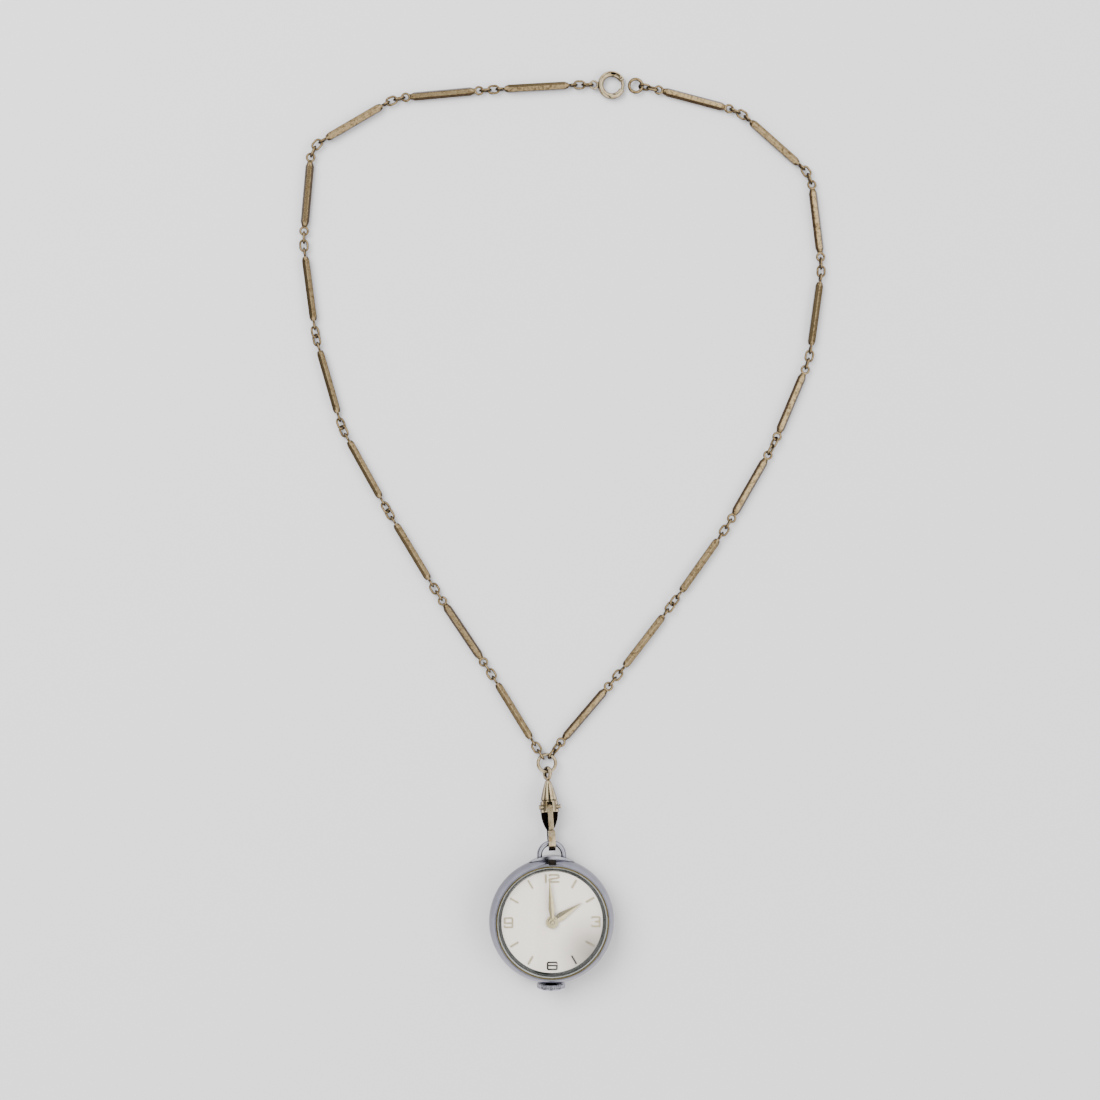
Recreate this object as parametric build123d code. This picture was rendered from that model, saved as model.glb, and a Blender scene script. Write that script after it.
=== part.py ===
from build123d import *
import math
import os

# A pendant watch on a fancy bar chain, laid on its back. Millimetres, +Z up out of the dial,
# +Y to twelve o'clock. The origin is the centre of the flat of the case back.

# Case, built outwards from the mainplate
plate_radius = 9.9
casing_ring_wall = 1.6
casing_ring_play = 0.1
back_wall = 0.6
back_seat_height = 1.9
back_dome_width = 5.75
rebate_width = 0.65
rebate_depth = 0.5
rebate_wall = 0.5
flange_overhang = 0.25
flange_height = 0.75
mouth_seat_width = 0.7
mouth_depth = 0.8
lip_wall = 0.3
case_bulge_width = 1.1
case_middle_height = 4.9
lip_notch_width = 1.6
lip_notch_depth = 2.0
lip_notch_wall = 0.2
seat_clearance = 0.03
running_clearance = 0.05

# Crystal and its gilt tension ring
crystal_ring_width = 0.25
crystal_ring_proud = 0.12
crystal_rise_height = 2.3
crystal_wall = 0.85
crystal_skirt_wall = 0.8
crystal_seat_gap = 0.1

# Bow at twelve o'clock
bow_wire = 1.15
bow_outer_width = 6.4
bow_rise_height = 3.85
bow_foot_length = 5.2
bow_foot_height = 2.6
bow_foot_wall = 0.55

# Dial, markers and hands
dial_thickness = 0.4
dial_hole_radius = 1.15
dial_foot_radius = 0.4
dial_foot_length = 1.5
dial_foot_inset_width = 1.0
dial_foot_angles = (60, 200)
marker_height = 0.2
stroke = 0.3
numeral_inset_width = 2.15
baton_length = 2.0
baton_width = 0.34
numeral_across = 2.0
numeral_deep = 1.5
side_numeral_deep = 1.65
one_gap = 0.5
minute_hand_reach_length = 0.6
minute_hand_width = 1.35
minute_hand_tail = 1.7
minute_hand_angle = 4.0
hour_hand_short_length = 1.8
hour_hand_width = 1.85
hour_hand_tail = 1.7
hour_hand_angle = -57.0
hand_edge = 0.08
hand_ridge = 0.22
hour_hub_radius = 1.35
minute_hub_radius = 0.95
hour_hand_gap = 0.3
minute_hand_rise_height = 0.5
centre_pin_height = 0.32

# Crown and stem at six o'clock
crown_radius = 3.1
crown_length = 1.3
crown_gap = 0.15
crown_flutes = 44
flute_radius = 0.15
crown_edge = 0.4
crown_recess_radius = 2.4
crown_recess_depth = 0.75
crown_tube_radius = 1.25
crown_tube_length = 0.6
stem_height = 1.05
stem_radius = 0.6
stem_end = 5.35
stem_pull = 0.8
stem_hole_clearance = 0.06
winding_pinion_radius = 1.9
winding_pinion_inner = 5.95
winding_pinion_length = 1.15
winding_leaves = 20
sliding_leaves = 14
sliding_pinion_inner = 7.35
sliding_pinion_radius = 1.2
sliding_pinion_length = 1.1
lever_groove_radius = 0.4
lever_groove = 9.2
lever_thickness = 0.4
lever_reach = 2.9
lever_height = 1.7

# Movement
train_height = 1.7
plate_thickness = 1.1
bridge_thickness = 1.0
pivot_radius = 0.14
pivot_depth = 0.3
arbor_radius = 0.28
tooth_depth_share = 0.09
mesh_clearance = 0.03
window_clearance = 0.25
wheel_thickness = 0.2
ratchet_back_gap = 0.5
ratchet_bridge_gap = 0.1
ratchet_thickness = 0.3
screw_head_radius = 0.75
screw_shank_radius = 0.35
screw_head_height = 0.35
screw_slot = 0.2
bridge_screw_inset_width = 1.0
barrel_screw_angles = (172, 238)
train_screw_angles = (305, 40, 82)
cock_screw_angle = 150
barrel_bridge_edge = 2.0
barrel_bridge_right = 1.9
train_bridge_left = -0.35
bridge_gap = 0.25
cock_arm_width = 1.7
mesh_module_barrel = 0.1433
mesh_module_centre = 0.125
mesh_module_third = 0.1
mesh_module_fourth = 0.0771
motion_module = 0.18
barrel_teeth = 60
centre_pinion_leaves = 10
centre_teeth = 64
third_pinion_leaves = 8
third_teeth = 60
fourth_pinion_leaves = 8
fourth_teeth = 70
escape_pinion_leaves = 7
escape_teeth = 15
escape_radius = 2.0
cannon_leaves = 10
minute_teeth = 30
minute_pinion_leaves = 8
hour_teeth = 32
ratchet_teeth = 44
crown_wheel_teeth = 27
ratchet_radius = 3.1
crown_wheel_radius = 1.9
barrel_angle = 205.0
third_angle = 345.0
fourth_angle = 73.8
escape_angle = 140.0
balance_x = -2.7
balance_y = 5.6
balance_radius = 3.2
balance_rim = 0.55
balance_height = 0.4
pallet_distance = 2.4
minute_wheel_angle = 290.0
low_wheel_height = 0.25
fourth_wheel_height = 0.8
balance_lift_height = 0.7
barrel_gap = 0.1
barrel_height = 1.1
centre_wheel_gap = 0.15
barrel_tooth_height = 0.35
barrel_wall = 0.18
barrel_arbor_radius = 0.56
barrel_hub_radius = 0.95
mainspring_turns = 6
mainspring_strip = 0.1
crown_core_radius = 0.6
crown_core_head_radius = 1.05
crown_core_head_height = 0.2
click_radius = 0.55
click_beak = 0.35
click_stud_radius = 0.2
click_angle = 120.0
fork_width = 0.3
roller_radius = 0.65
impulse_pin_radius = 0.09
hairspring_radius = 2.1
hairspring_turns = 9
hairspring_strip = 0.05
hairspring_height = 0.12
motion_thickness = 0.4
motion_height = 0.55
motion_space_height = 0.8
cannon_pipe_radius = 0.5
hour_pipe_radius = 0.85
hour_wheel_share = 0.97

# Swivel clasp, measured along its own axis from the bow
bow_play = 0.24
clasp_slope = 11.2
clasp_heading = 2.7
hook_thickness = 0.9
hook_width = 1.5
hook_outer_width = 6.0
hook_tip = 2.5
collar_start = 6.6
collar_end = 9.0
collar_radius = 2.1
cone_end = 13.5
cone_tip_radius = 0.62
cone_base_radius = 1.85
clasp_slot = 0.55
seam_depth = 0.2
seam_width = 0.28
spine_width = 3.7
spine_taper_end = 3.0
gate_pin_place = 7.75
gate_pin_height = 1.15
gate_pin_radius = 0.36
gate_pin_knob_radius = 0.5
gate_pin_length = 4.75
gate_width = 1.1
gate_eye_radius = 0.62
gate_knob_length = 0.32
gate_slot_floor = -0.6
gate_tip_clearance = 0.22
swivel_eye_outer = 3.2
swivel_eye_wire = 0.85
swivel_neck_radius = 0.38
swivel_head_radius = 0.66
swivel_head_length = 0.5
swivel_bore_depth = 2.6
swivel_clearance = 0.05
swivel_turned = 28.0

# Join ring
join_ring_outer = 4.6
join_ring_wire = 0.75
join_play = 0.06
join_chain_play = 0.1

# Chain: bars with an eye at each end and two small oval links between them
chain_wire = 0.52
eye_outer = 2.15
link_outer_length = 2.85
link_outer_width = 2.1
bar_length = 13.95
bar_across = 1.6
bar_end_radius = 0.6
bar_taper = 1.0
bar_sides = 6
contact_play = 0.04
table_clearance = 0.02
left_start_angle = 122.0
right_start_angle = 58.0
left_headings = [121.5, 123.8, 121.0, 119.0, 106.0, 97.5, 85.0, 31.0, 6.0, 4.0]
left_rolls = [90, 0, 90, 90, 90, 90, 0, 90, 0, 90]
right_headings = [49.3, 52.3, 54.5, 60.0, 67.0, 82.0, 97.0, 139.0, 166.0]
right_rolls = [0, 90, 90, 0, 0, 90, 0, 90, 0]

# Spring ring and tag ring at the nape
nape_ring_outer = 6.2
nape_ring_wire = 1.3
nape_gate_angle = 50.0
nape_bore_radius = 0.42
nape_trigger_radius = 0.36
nape_eye_outer = 2.15
nape_knob_radius = 0.2
nape_knob_height = 0.35
nape_knob_angle = 16.0
nape_travel = 45.0
nape_bolt_angle = 95.0
left_nape_heading = 0.0
right_nape_heading = 174.0
tag_ring_outer = 3.6
tag_ring_wire = 0.7

# Radii that follow, from the mainplate out to the skin of the case
casing_ring_outer = plate_radius + casing_ring_wall
movement_bore_radius = casing_ring_outer + casing_ring_play
rebate_radius = movement_bore_radius + rebate_width
back_rim_radius = rebate_radius + rebate_wall
back_flat_radius = back_rim_radius - back_dome_width
dial_radius = movement_bore_radius - running_clearance
flange_radius = dial_radius - flange_overhang
mouth_radius = dial_radius + mouth_seat_width
case_lip_radius = mouth_radius + lip_wall
case_radius = case_lip_radius + case_bulge_width
bow_top = case_radius + bow_rise_height
numeral_circle = dial_radius - numeral_inset_width
baton_circle = numeral_circle
minute_hand_length = numeral_circle + minute_hand_reach_length
hour_hand_length = numeral_circle - hour_hand_short_length
dial_foot_circle = plate_radius - dial_foot_inset_width
bridge_screw_circle = plate_radius - bridge_screw_inset_width

# Heights that follow, from the case back up to the crystal
rebate_top = back_seat_height + rebate_depth
ratchet_level = back_wall + ratchet_back_gap
bridge_bottom = ratchet_level + ratchet_thickness + ratchet_bridge_gap
bridge_top = bridge_bottom + bridge_thickness
barrel_bottom = bridge_top + barrel_gap
barrel_top = barrel_bottom + barrel_height
low_level = bridge_top + low_wheel_height
fourth_level = bridge_top + fourth_wheel_height
centre_level = barrel_top + centre_wheel_gap
balance_level = bridge_top + balance_lift_height
stem_level = bridge_top + stem_height
plate_bottom = bridge_top + train_height
plate_top = plate_bottom + plate_thickness
dial_bottom = plate_top + motion_space_height
dial_top = dial_bottom + dial_thickness
flange_bottom = dial_top + running_clearance
flange_top = flange_bottom + flange_height
case_top = flange_top + mouth_depth
crystal_height = case_top + crystal_rise_height
hour_hand_level = dial_top + hour_hand_gap
minute_hand_level = hour_hand_level + minute_hand_rise_height
centre_pin_top = minute_hand_level + centre_pin_height

# Other sizes that follow
stem_cut = stem_radius + stem_hole_clearance
hook_axis_height = case_middle_height
bow_bar_y = bow_top - bow_wire / 2
crown_start = case_radius + crown_gap
chain_level = eye_outer / 2 + table_clearance
eye_radius = (eye_outer - chain_wire) / 2
link_radius = (link_outer_width - chain_wire) / 2
link_half = (link_outer_length - link_outer_width) / 2
hook_pass = bow_wire / 2 + bow_play
join_radius = (join_ring_outer - join_ring_wire) / 2
swivel_eye_radius = (swivel_eye_outer - swivel_eye_wire) / 2
swivel_eye_place = cone_end + swivel_clearance + swivel_eye_outer / 2
join_contact = swivel_eye_place + swivel_eye_radius - swivel_eye_wire / 2 - join_ring_wire / 2 - join_play
nape_radius = (nape_ring_outer - nape_ring_wire) / 2


def outline(start, *moves):
    """Close a flat face from straight moves to a point and arc moves through a point to a point."""
    edges = []
    here = start
    for move in moves:
        if isinstance(move[0], tuple):
            edges.append(ThreePointArc(here, *move))
            here = move[1]
        else:
            edges.append(Line(here, move))
            here = move
    edges.append(Line(here, start))
    return make_face(edges)


def turned(face):
    """Turn a face drawn as radius and height about the upright axis."""
    return revolve(Plane.XZ * face, Axis.Z)


def disc(radius, bottom, thickness, x=0.0, y=0.0):
    """A plain round plate standing on its bottom height."""
    return Pos(x, y, bottom) * extrude(Circle(radius), thickness)


def polar(distance, angle):
    """Plan point at a distance and an angle from the middle of the movement."""
    return (distance * math.cos(math.radians(angle)), distance * math.sin(math.radians(angle)))


def toothed(radius, teeth, thickness):
    """A toothed disc whose tips reach the given radius."""
    root = radius * (1 - tooth_depth_share)
    if teeth < 12:
        root = radius * (1 - 3 * tooth_depth_share)
    points = []
    for tooth in range(teeth):
        for step, reach in ((-0.34, root), (-0.14, radius), (0.14, radius), (0.34, root)):
            points.append(polar(reach, 360 * (tooth + step) / teeth))
    return extrude(make_face(Polyline(*points, close=True)), thickness)


def spoked(radius, teeth, thickness, spokes):
    """A toothed wheel crossed out into spokes between its hub and its rim."""
    rim_share, hub_share, spoke_share = 0.8, 0.24, 0.13
    opening = Circle(radius * rim_share) - Circle(radius * hub_share)
    for turn in range(spokes):
        arm = Pos(radius / 2, 0) * Rectangle(radius, radius * spoke_share)
        opening -= Rot(0, 0, 360 * turn / spokes) * arm
    return toothed(radius, teeth, thickness) - extrude(opening, thickness)


def arbor(bottom, top):
    """A wheel arbor with a thinner pivot at each end."""
    body = disc(arbor_radius, bottom, top - bottom)
    return body + disc(pivot_radius, bottom - pivot_depth, top - bottom + 2 * pivot_depth)


def mesh_distance(module, teeth, leaves):
    """Distance between the middles of a wheel and the pinion that it drives."""
    return module * (teeth + leaves) / 2 + mesh_clearance


# Movement centres
barrel_at = polar(mesh_distance(mesh_module_barrel, barrel_teeth, centre_pinion_leaves), barrel_angle)
third_at = polar(mesh_distance(mesh_module_centre, centre_teeth, third_pinion_leaves), third_angle)
fourth_step = polar(mesh_distance(mesh_module_third, third_teeth, fourth_pinion_leaves), fourth_angle)
fourth_at = (third_at[0] + fourth_step[0], third_at[1] + fourth_step[1])
escape_step = polar(mesh_distance(mesh_module_fourth, fourth_teeth, escape_pinion_leaves), escape_angle)
escape_at = (fourth_at[0] + escape_step[0], fourth_at[1] + escape_step[1])
balance_at = (balance_x, balance_y)
to_balance = math.degrees(math.atan2(balance_y - escape_at[1], balance_x - escape_at[0]))
pallet_step = polar(pallet_distance, to_balance)
pallet_at = (escape_at[0] + pallet_step[0], escape_at[1] + pallet_step[1])
crown_wheel_distance = ratchet_radius + crown_wheel_radius + mesh_clearance
crown_wheel_at = (0.0, barrel_at[1] - math.sqrt(crown_wheel_distance**2 - barrel_at[0] ** 2))
minute_wheel_at = polar(mesh_distance(motion_module, minute_teeth, cannon_leaves), minute_wheel_angle)


def along_stem(shape, distance):
    """Carry a shape built up from zero on to the stem axis, growing outwards from a distance."""
    return Pos(0, -distance, stem_level) * Rot(90, 0, 0) * shape


skin_shares = (0.25, 0.5, 0.75)


def case_skin():
    """The outer skin of the case as two outline arcs that meet half way up its bulge."""
    rim, lip = (back_rim_radius, back_seat_height), (case_lip_radius, case_top)
    bulge = ThreePointArc(rim, (case_radius, case_middle_height), lip)
    low, middle, high = (bulge @ share for share in skin_shares)
    return [((low.X, low.Y), (middle.X, middle.Y)), ((high.X, high.Y), lip)]


def case_middle():
    """The bun shaped case with its mouth, flange, movement bore, opening notch and crown tube."""
    body = turned(
        outline(
            (back_rim_radius, back_seat_height),
            *case_skin(),
            (mouth_radius, case_top),
            (mouth_radius, flange_top),
            (dial_radius + seat_clearance, flange_top),
            (flange_radius, flange_bottom + seat_clearance),
            (flange_radius, flange_bottom),
            (movement_bore_radius, flange_bottom),
            (movement_bore_radius, rebate_top),
            (rebate_radius, rebate_top),
            (rebate_radius, back_seat_height),
        )
    )
    tube_start = (movement_bore_radius + case_radius) / 2
    tube_length = crown_start - tube_start + crown_tube_length
    body += along_stem(extrude(Circle(crown_tube_radius), tube_length), tube_start)
    notch_start = mouth_radius + lip_notch_wall
    notch_length = case_radius - notch_start
    notch_middle = Pos(0, notch_start + notch_length / 2, case_top)
    body -= notch_middle * Box(lip_notch_width, notch_length, 2 * lip_notch_depth)
    return body - along_stem(extrude(Circle(stem_cut), case_radius), movement_bore_radius / 2)


def case_back():
    """The snap back: a flat to rest on inside a tangent dome and a lip that enters the case."""
    run = back_rim_radius - back_flat_radius
    bend = (run**2 + back_seat_height**2) / (2 * back_seat_height)
    lip_outer = rebate_radius - seat_clearance
    lip_inner = movement_bore_radius - seat_clearance

    def drop(radius, size):
        return bend - math.sqrt(size**2 - (radius - back_flat_radius) ** 2)

    half = back_flat_radius + run / 2
    inner = bend - back_wall
    half_inner = (back_flat_radius + lip_inner) / 2
    lip_top = rebate_top - seat_clearance
    return turned(
        outline(
            (0, 0),
            (back_flat_radius, 0),
            ((half, drop(half, bend)), (back_rim_radius, back_seat_height)),
            (lip_outer, back_seat_height),
            (lip_outer, lip_top),
            (lip_inner, lip_top),
            (lip_inner, drop(lip_inner, inner)),
            ((half_inner, drop(half_inner, inner)), (back_flat_radius, back_wall)),
            (0, back_wall),
        )
    )


def crystal_ring():
    """The thin gilt ring that holds the crystal in the mouth of the case."""
    outer = mouth_radius - seat_clearance
    inner = outer - crystal_ring_width
    top = case_top + crystal_ring_proud
    edge = outer - crystal_ring_proud
    return turned(outline((inner, flange_top), (outer, flange_top), (outer, case_top), (edge, top), (inner, top)))


def crystal():
    """The domed acrylic crystal, whose skirt leaves room for a thin ring on its seat."""
    outer = mouth_radius - 2 * seat_clearance - crystal_ring_width
    inner = outer - crystal_skirt_wall
    rise = crystal_height - case_top
    bend = (outer**2 + rise**2) / (2 * rise)
    middle = crystal_height - bend
    half = outer / 2
    under = bend - crystal_wall
    skirt_bottom = flange_top + crystal_seat_gap

    def height(radius, size):
        return middle + math.sqrt(size**2 - radius**2)

    return turned(
        outline(
            (inner, skirt_bottom),
            (outer, skirt_bottom),
            (outer, case_top),
            ((half, height(half, bend)), (0, crystal_height)),
            (0, crystal_height - crystal_wall),
            ((inner / 2, height(inner / 2, under)), (inner, height(inner, under))),
        )
    )


def bow():
    """The fixed bow: a round wire arch with feet that spread along the case."""
    half = (bow_outer_width - bow_wire) / 2
    arch_y = bow_bar_y - half
    foot_y = math.sqrt(case_radius**2 - half**2)
    path = Line((half, foot_y), (half, arch_y))
    path += ThreePointArc((half, arch_y), (0, bow_bar_y), (-half, arch_y))
    path += Line((-half, arch_y), (-half, foot_y))
    section = Plane(origin=(half, foot_y, 0), x_dir=(1, 0, 0), z_dir=(0, 1, 0)) * Circle(bow_wire / 2)
    arch = Pos(0, 0, hook_axis_height) * sweep(section, path=path)
    strap_top = case_radius + bow_foot_wall
    strap_end = math.sqrt(case_radius**2 - bow_foot_length**2)
    strap_y = (strap_top**2 - case_radius**2) / (2 * (strap_top - strap_end))
    strap_bottom = hook_axis_height - bow_foot_height / 2
    strap = disc(strap_top - strap_y, strap_bottom, bow_foot_height, y=strap_y)
    strap &= Pos(0, case_radius, hook_axis_height) * Rot(90, 0, 0) * extrude(
        Ellipse(bow_foot_length, bow_foot_height / 2), bow_foot_height, both=True
    )
    return (arch + strap) - case_filling()


def case_filling():
    """The solid space inside the outer skin of the case, which other pieces are cut to."""
    return turned(
        outline(
            (0, back_seat_height),
            (back_rim_radius, back_seat_height),
            *case_skin(),
            (0, case_top),
        )
    )


def dial():
    """The dial with its centre hole and two feet that enter the mainplate."""
    plan = Circle(dial_radius) - Circle(dial_hole_radius)
    body = Pos(0, 0, dial_bottom) * extrude(plan, dial_thickness)
    for angle in dial_foot_angles:
        x, y = polar(dial_foot_circle, angle)
        body += disc(dial_foot_radius, dial_bottom - dial_foot_length, dial_foot_length, x, y)
    return body


def stroke_path(points, width, height):
    """A rounded stroke along points given as shares of a numeral's width and height."""
    placed = [(x * width, y * height) for x, y in points]
    if len(placed) == 2:
        return trace(Line(*placed), line_width=stroke)
    return trace(FilletPolyline(*placed, radius=stroke * 0.6), line_width=stroke)


two_shares = [(-0.5, 0.32), (-0.5, 0.5), (0.5, 0.5), (0.5, 0.08), (-0.5, -0.12), (-0.5, -0.5), (0.55, -0.5)]
three_shares = [(-0.5, 0.36), (-0.5, 0.5), (0.5, 0.5), (0.5, 0.04), (-0.1, 0.0)]
three_low_shares = [(-0.1, 0.0), (0.5, -0.04), (0.5, -0.5), (-0.5, -0.5), (-0.5, -0.36)]
six_shares = [(0.5, 0.3), (0.5, 0.5), (-0.5, 0.5), (-0.5, -0.5), (0.5, -0.5), (0.5, 0.05)]
six_bar_shares = [(0.6, 0.05), (-0.5, 0.05)]


def dial_markers():
    """The applied numerals at the quarters and the batons between them."""
    flat = (numeral_across, numeral_deep)
    upright = (side_numeral_deep, numeral_across)
    two = Pos((one_gap + stroke) / 2, numeral_circle) * stroke_path(two_shares, *flat)
    bar = Rectangle(stroke, numeral_deep + stroke)
    one = Pos(-(one_gap + numeral_across) / 2 - stroke / 2, numeral_circle) * bar
    six = Pos(0, -numeral_circle) * (stroke_path(six_shares, *flat) + stroke_path(six_bar_shares, *flat))
    three = stroke_path(three_shares, *upright) + stroke_path(three_low_shares, *upright)
    three = Pos(numeral_circle, 0) * three
    nine = stroke_path(six_shares, *upright) + stroke_path(six_bar_shares, *upright)
    nine = Pos(-numeral_circle, 0) * Rot(0, 0, 180) * nine
    raised = [one, two, three, six, nine]
    for hour in range(12):
        if hour % 3:
            raised.append(Rot(0, 0, 30 * hour) * Pos(baton_circle, 0) * Rectangle(baton_length, baton_width))
    return [Pos(0, 0, dial_top) * extrude(mark, marker_height) for mark in raised]


def hand(length, width, tail, angle, level, hub, bore):
    """A ridged lozenge hand with a round hub, pointing along +Y before it is turned."""
    widest_share = 0.3
    widest = length * widest_share
    shape = outline((0, -tail), (width / 2, widest), (0, length), (-width / 2, widest))
    roof = outline((-width, 0), (width, 0), (width, hand_edge), (0, hand_ridge), (-width, hand_edge))
    ridge = extrude(Plane.XZ * roof, length + tail, both=True)
    body = extrude(shape, hand_ridge) & ridge
    body += disc(hub, 0, hand_ridge)
    body -= disc(bore, 0, hand_ridge)
    return Pos(0, 0, level) * Rot(0, 0, angle) * body


def crown():
    """The fluted crown, hollowed over the tube, with the bore that takes the stem."""
    length = crown_length
    blank = revolve(
        Plane.XZ
        * outline(
            (0, 0),
            (crown_radius - crown_edge / 2, 0),
            (crown_radius, crown_edge / 2),
            (crown_radius, length - crown_edge),
            (
                (crown_radius - crown_edge * 0.3, length - crown_edge * 0.3),
                (crown_radius - crown_edge, length),
            ),
            (0, length),
        ),
        Axis.Z,
    )
    blank -= extrude(Circle(crown_recess_radius), crown_recess_depth)
    blank -= extrude(Circle(stem_radius), length - crown_edge)
    for flute in range(crown_flutes):
        groove = Pos(crown_radius, 0) * Circle(flute_radius)
        blank -= Rot(0, 0, 360 * flute / crown_flutes) * extrude(groove, length - crown_edge)
    return along_stem(blank, crown_start)


def winding_stem():
    """The stem from its inner pilot to the crown, with the groove for the setting lever."""
    length = crown_start + crown_length - crown_edge - stem_end
    stem = extrude(Circle(stem_radius), length)
    groove = Circle(stem_radius) - Circle(lever_groove_radius)
    width = lever_thickness + 2 * running_clearance
    stem -= Pos(0, 0, lever_groove - width / 2 - stem_end) * extrude(groove, width)
    return along_stem(stem, stem_end)


def stem_pinion(radius, length, leaves, inner, clearance):
    """A toothed pinion round the stem."""
    body = toothed(radius, leaves, length) - extrude(Circle(stem_radius + clearance), length)
    return along_stem(body, inner)


def setting_lever():
    """The lever whose fork sits in the stem groove and moves with the stem."""
    half = lever_height / 2
    blank = Pos(lever_reach / 2 - stem_radius, 0) * Rectangle(lever_reach, 2 * half)
    slot = Circle(lever_groove_radius + running_clearance)
    mouth = 2 * (lever_groove_radius + running_clearance)
    slot += Pos(-lever_reach / 2, 0) * Rectangle(lever_reach, mouth)
    body = extrude(blank - slot, lever_thickness)
    return along_stem(body, lever_groove - lever_thickness / 2)


def casing_ring():
    """The ring that centres the movement in the case, holed for the stem and relieved for its lever."""
    height = dial_bottom - running_clearance - rebate_top
    plan = Circle(casing_ring_outer) - Circle(plate_radius + seat_clearance) - keyless_window()
    body = Pos(0, 0, rebate_top) * extrude(plan, height)
    return body - along_stem(extrude(Circle(stem_cut), casing_ring_outer), plate_radius / 2)


def keyless_window():
    """The opening that the pinions and the setting lever need in plates and bridges."""
    clear = 2 * window_clearance
    width = 2 * winding_pinion_radius + clear
    start = winding_pinion_inner - window_clearance
    end = lever_groove + lever_thickness + stem_pull + window_clearance
    opening = Pos(0, -(start + end) / 2) * Rectangle(width, end - start)
    lever = Pos(lever_reach / 2, -(lever_groove + stem_pull / 2)) * Rectangle(
        lever_reach + clear, lever_thickness + stem_pull + clear
    )
    return opening + lever


def screw_places(angles):
    """Plan places of bridge screws, each over a pillar of its bridge."""
    return [polar(bridge_screw_circle, angle) for angle in angles]


def all_screw_places():
    """Plan places of every bridge screw."""
    return screw_places((*barrel_screw_angles, *train_screw_angles, cock_screw_angle))


def mainplate():
    """The mainplate with the keyless window and every hole that it carries."""
    body = disc(plate_radius, plate_bottom, plate_thickness)
    body -= Pos(0, 0, plate_bottom) * extrude(keyless_window(), plate_thickness)
    body -= disc(arbor_radius + 2 * running_clearance, plate_bottom, plate_thickness)
    for x, y in (third_at, fourth_at, escape_at, balance_at, pallet_at, barrel_at):
        body -= disc(pivot_radius + running_clearance, plate_bottom, pivot_depth + running_clearance, x, y)
    for x, y in all_screw_places():
        body -= disc(screw_shank_radius + seat_clearance, plate_bottom, plate_thickness, x, y)
    for angle in dial_foot_angles:
        x, y = polar(dial_foot_circle, angle)
        body -= disc(dial_foot_radius + seat_clearance, plate_bottom, plate_thickness, x, y)
    x, y = minute_wheel_at
    post = disc(arbor_radius, plate_top, dial_bottom - plate_top - running_clearance, x, y)
    return body + post


def bridge(plan, pivots, pillars):
    """A bridge of a given plan on pillars that stand on the mainplate, bored for pivots and screws."""
    body = Pos(0, 0, bridge_bottom) * extrude(plan, bridge_thickness)
    for x, y in pillars:
        body += disc(screw_head_radius, bridge_top, plate_bottom - bridge_top, x, y)
    for x, y in pillars:
        body -= disc(screw_shank_radius + seat_clearance, bridge_bottom, plate_bottom - bridge_bottom, x, y)
    for x, y, radius in pivots:
        body -= disc(radius + running_clearance, bridge_bottom, bridge_thickness, x, y)
    return body


def half_plan(left, right, low, high):
    """The part of the movement's plan between four straight edges."""
    box = Rectangle(right - left, high - low)
    return Circle(plate_radius) & Pos((left + right) / 2, (low + high) / 2) * box


def barrel_bridge():
    """The bridge over the barrel, with the post that carries the crown wheel and the click's stud."""
    plan = half_plan(-plate_radius, barrel_bridge_right, -plate_radius, barrel_bridge_edge) - keyless_window()
    pivots = [(*barrel_at, barrel_arbor_radius), (0.0, 0.0, pivot_radius)]
    body = bridge(plan, pivots, screw_places(barrel_screw_angles))
    core_length = bridge_bottom - ratchet_level + running_clearance
    core_bottom = bridge_bottom - core_length
    body += disc(crown_core_radius, core_bottom, core_length, *crown_wheel_at)
    head_bottom = core_bottom - crown_core_head_height
    body += disc(crown_core_head_radius, head_bottom, crown_core_head_height, *crown_wheel_at)
    return body + disc(click_stud_radius, ratchet_level, bridge_bottom - ratchet_level, *click_place())


def train_bridge():
    """The bridge over the train, on the right and above the middle of the movement."""
    right = half_plan(barrel_bridge_right + bridge_gap, plate_radius, -plate_radius, plate_radius)
    upper = half_plan(train_bridge_left, plate_radius, barrel_bridge_edge + bridge_gap, plate_radius)
    plan = (right + upper) - keyless_window()
    pivots = [(x, y, pivot_radius) for x, y in [third_at, fourth_at, escape_at, pallet_at]]
    return bridge(plan, pivots, screw_places(train_screw_angles))


def balance_cock():
    """The cock that carries the upper pivot of the balance."""
    place = screw_places([cock_screw_angle])[0]
    middle = ((place[0] + balance_x) / 2, (place[1] + balance_y) / 2)
    length = math.dist(place, balance_at)
    angle = math.degrees(math.atan2(place[1] - balance_y, place[0] - balance_x))
    arm = Pos(*middle) * Rot(0, 0, angle) * Rectangle(length, cock_arm_width)
    ends = Pos(*place) * Circle(cock_arm_width / 2) + Pos(*balance_at) * Circle(cock_arm_width * 0.7)
    return bridge((ends + arm) & Circle(plate_radius), [(*balance_at, pivot_radius)], [place])


def bridge_screws():
    """The bridge screws, slotted, in one group of separate solids."""
    made = []
    for x, y in all_screw_places():
        head_bottom = bridge_bottom - screw_head_height
        head = disc(screw_head_radius, head_bottom, screw_head_height, x, y)
        length = plate_bottom + plate_thickness / 2 - bridge_bottom
        shank = disc(screw_shank_radius, bridge_bottom, length, x, y)
        slot = Pos(x, y, head_bottom) * Box(2 * screw_head_radius, screw_slot, screw_slot)
        made.append(head + shank - slot)
    return made


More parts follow.
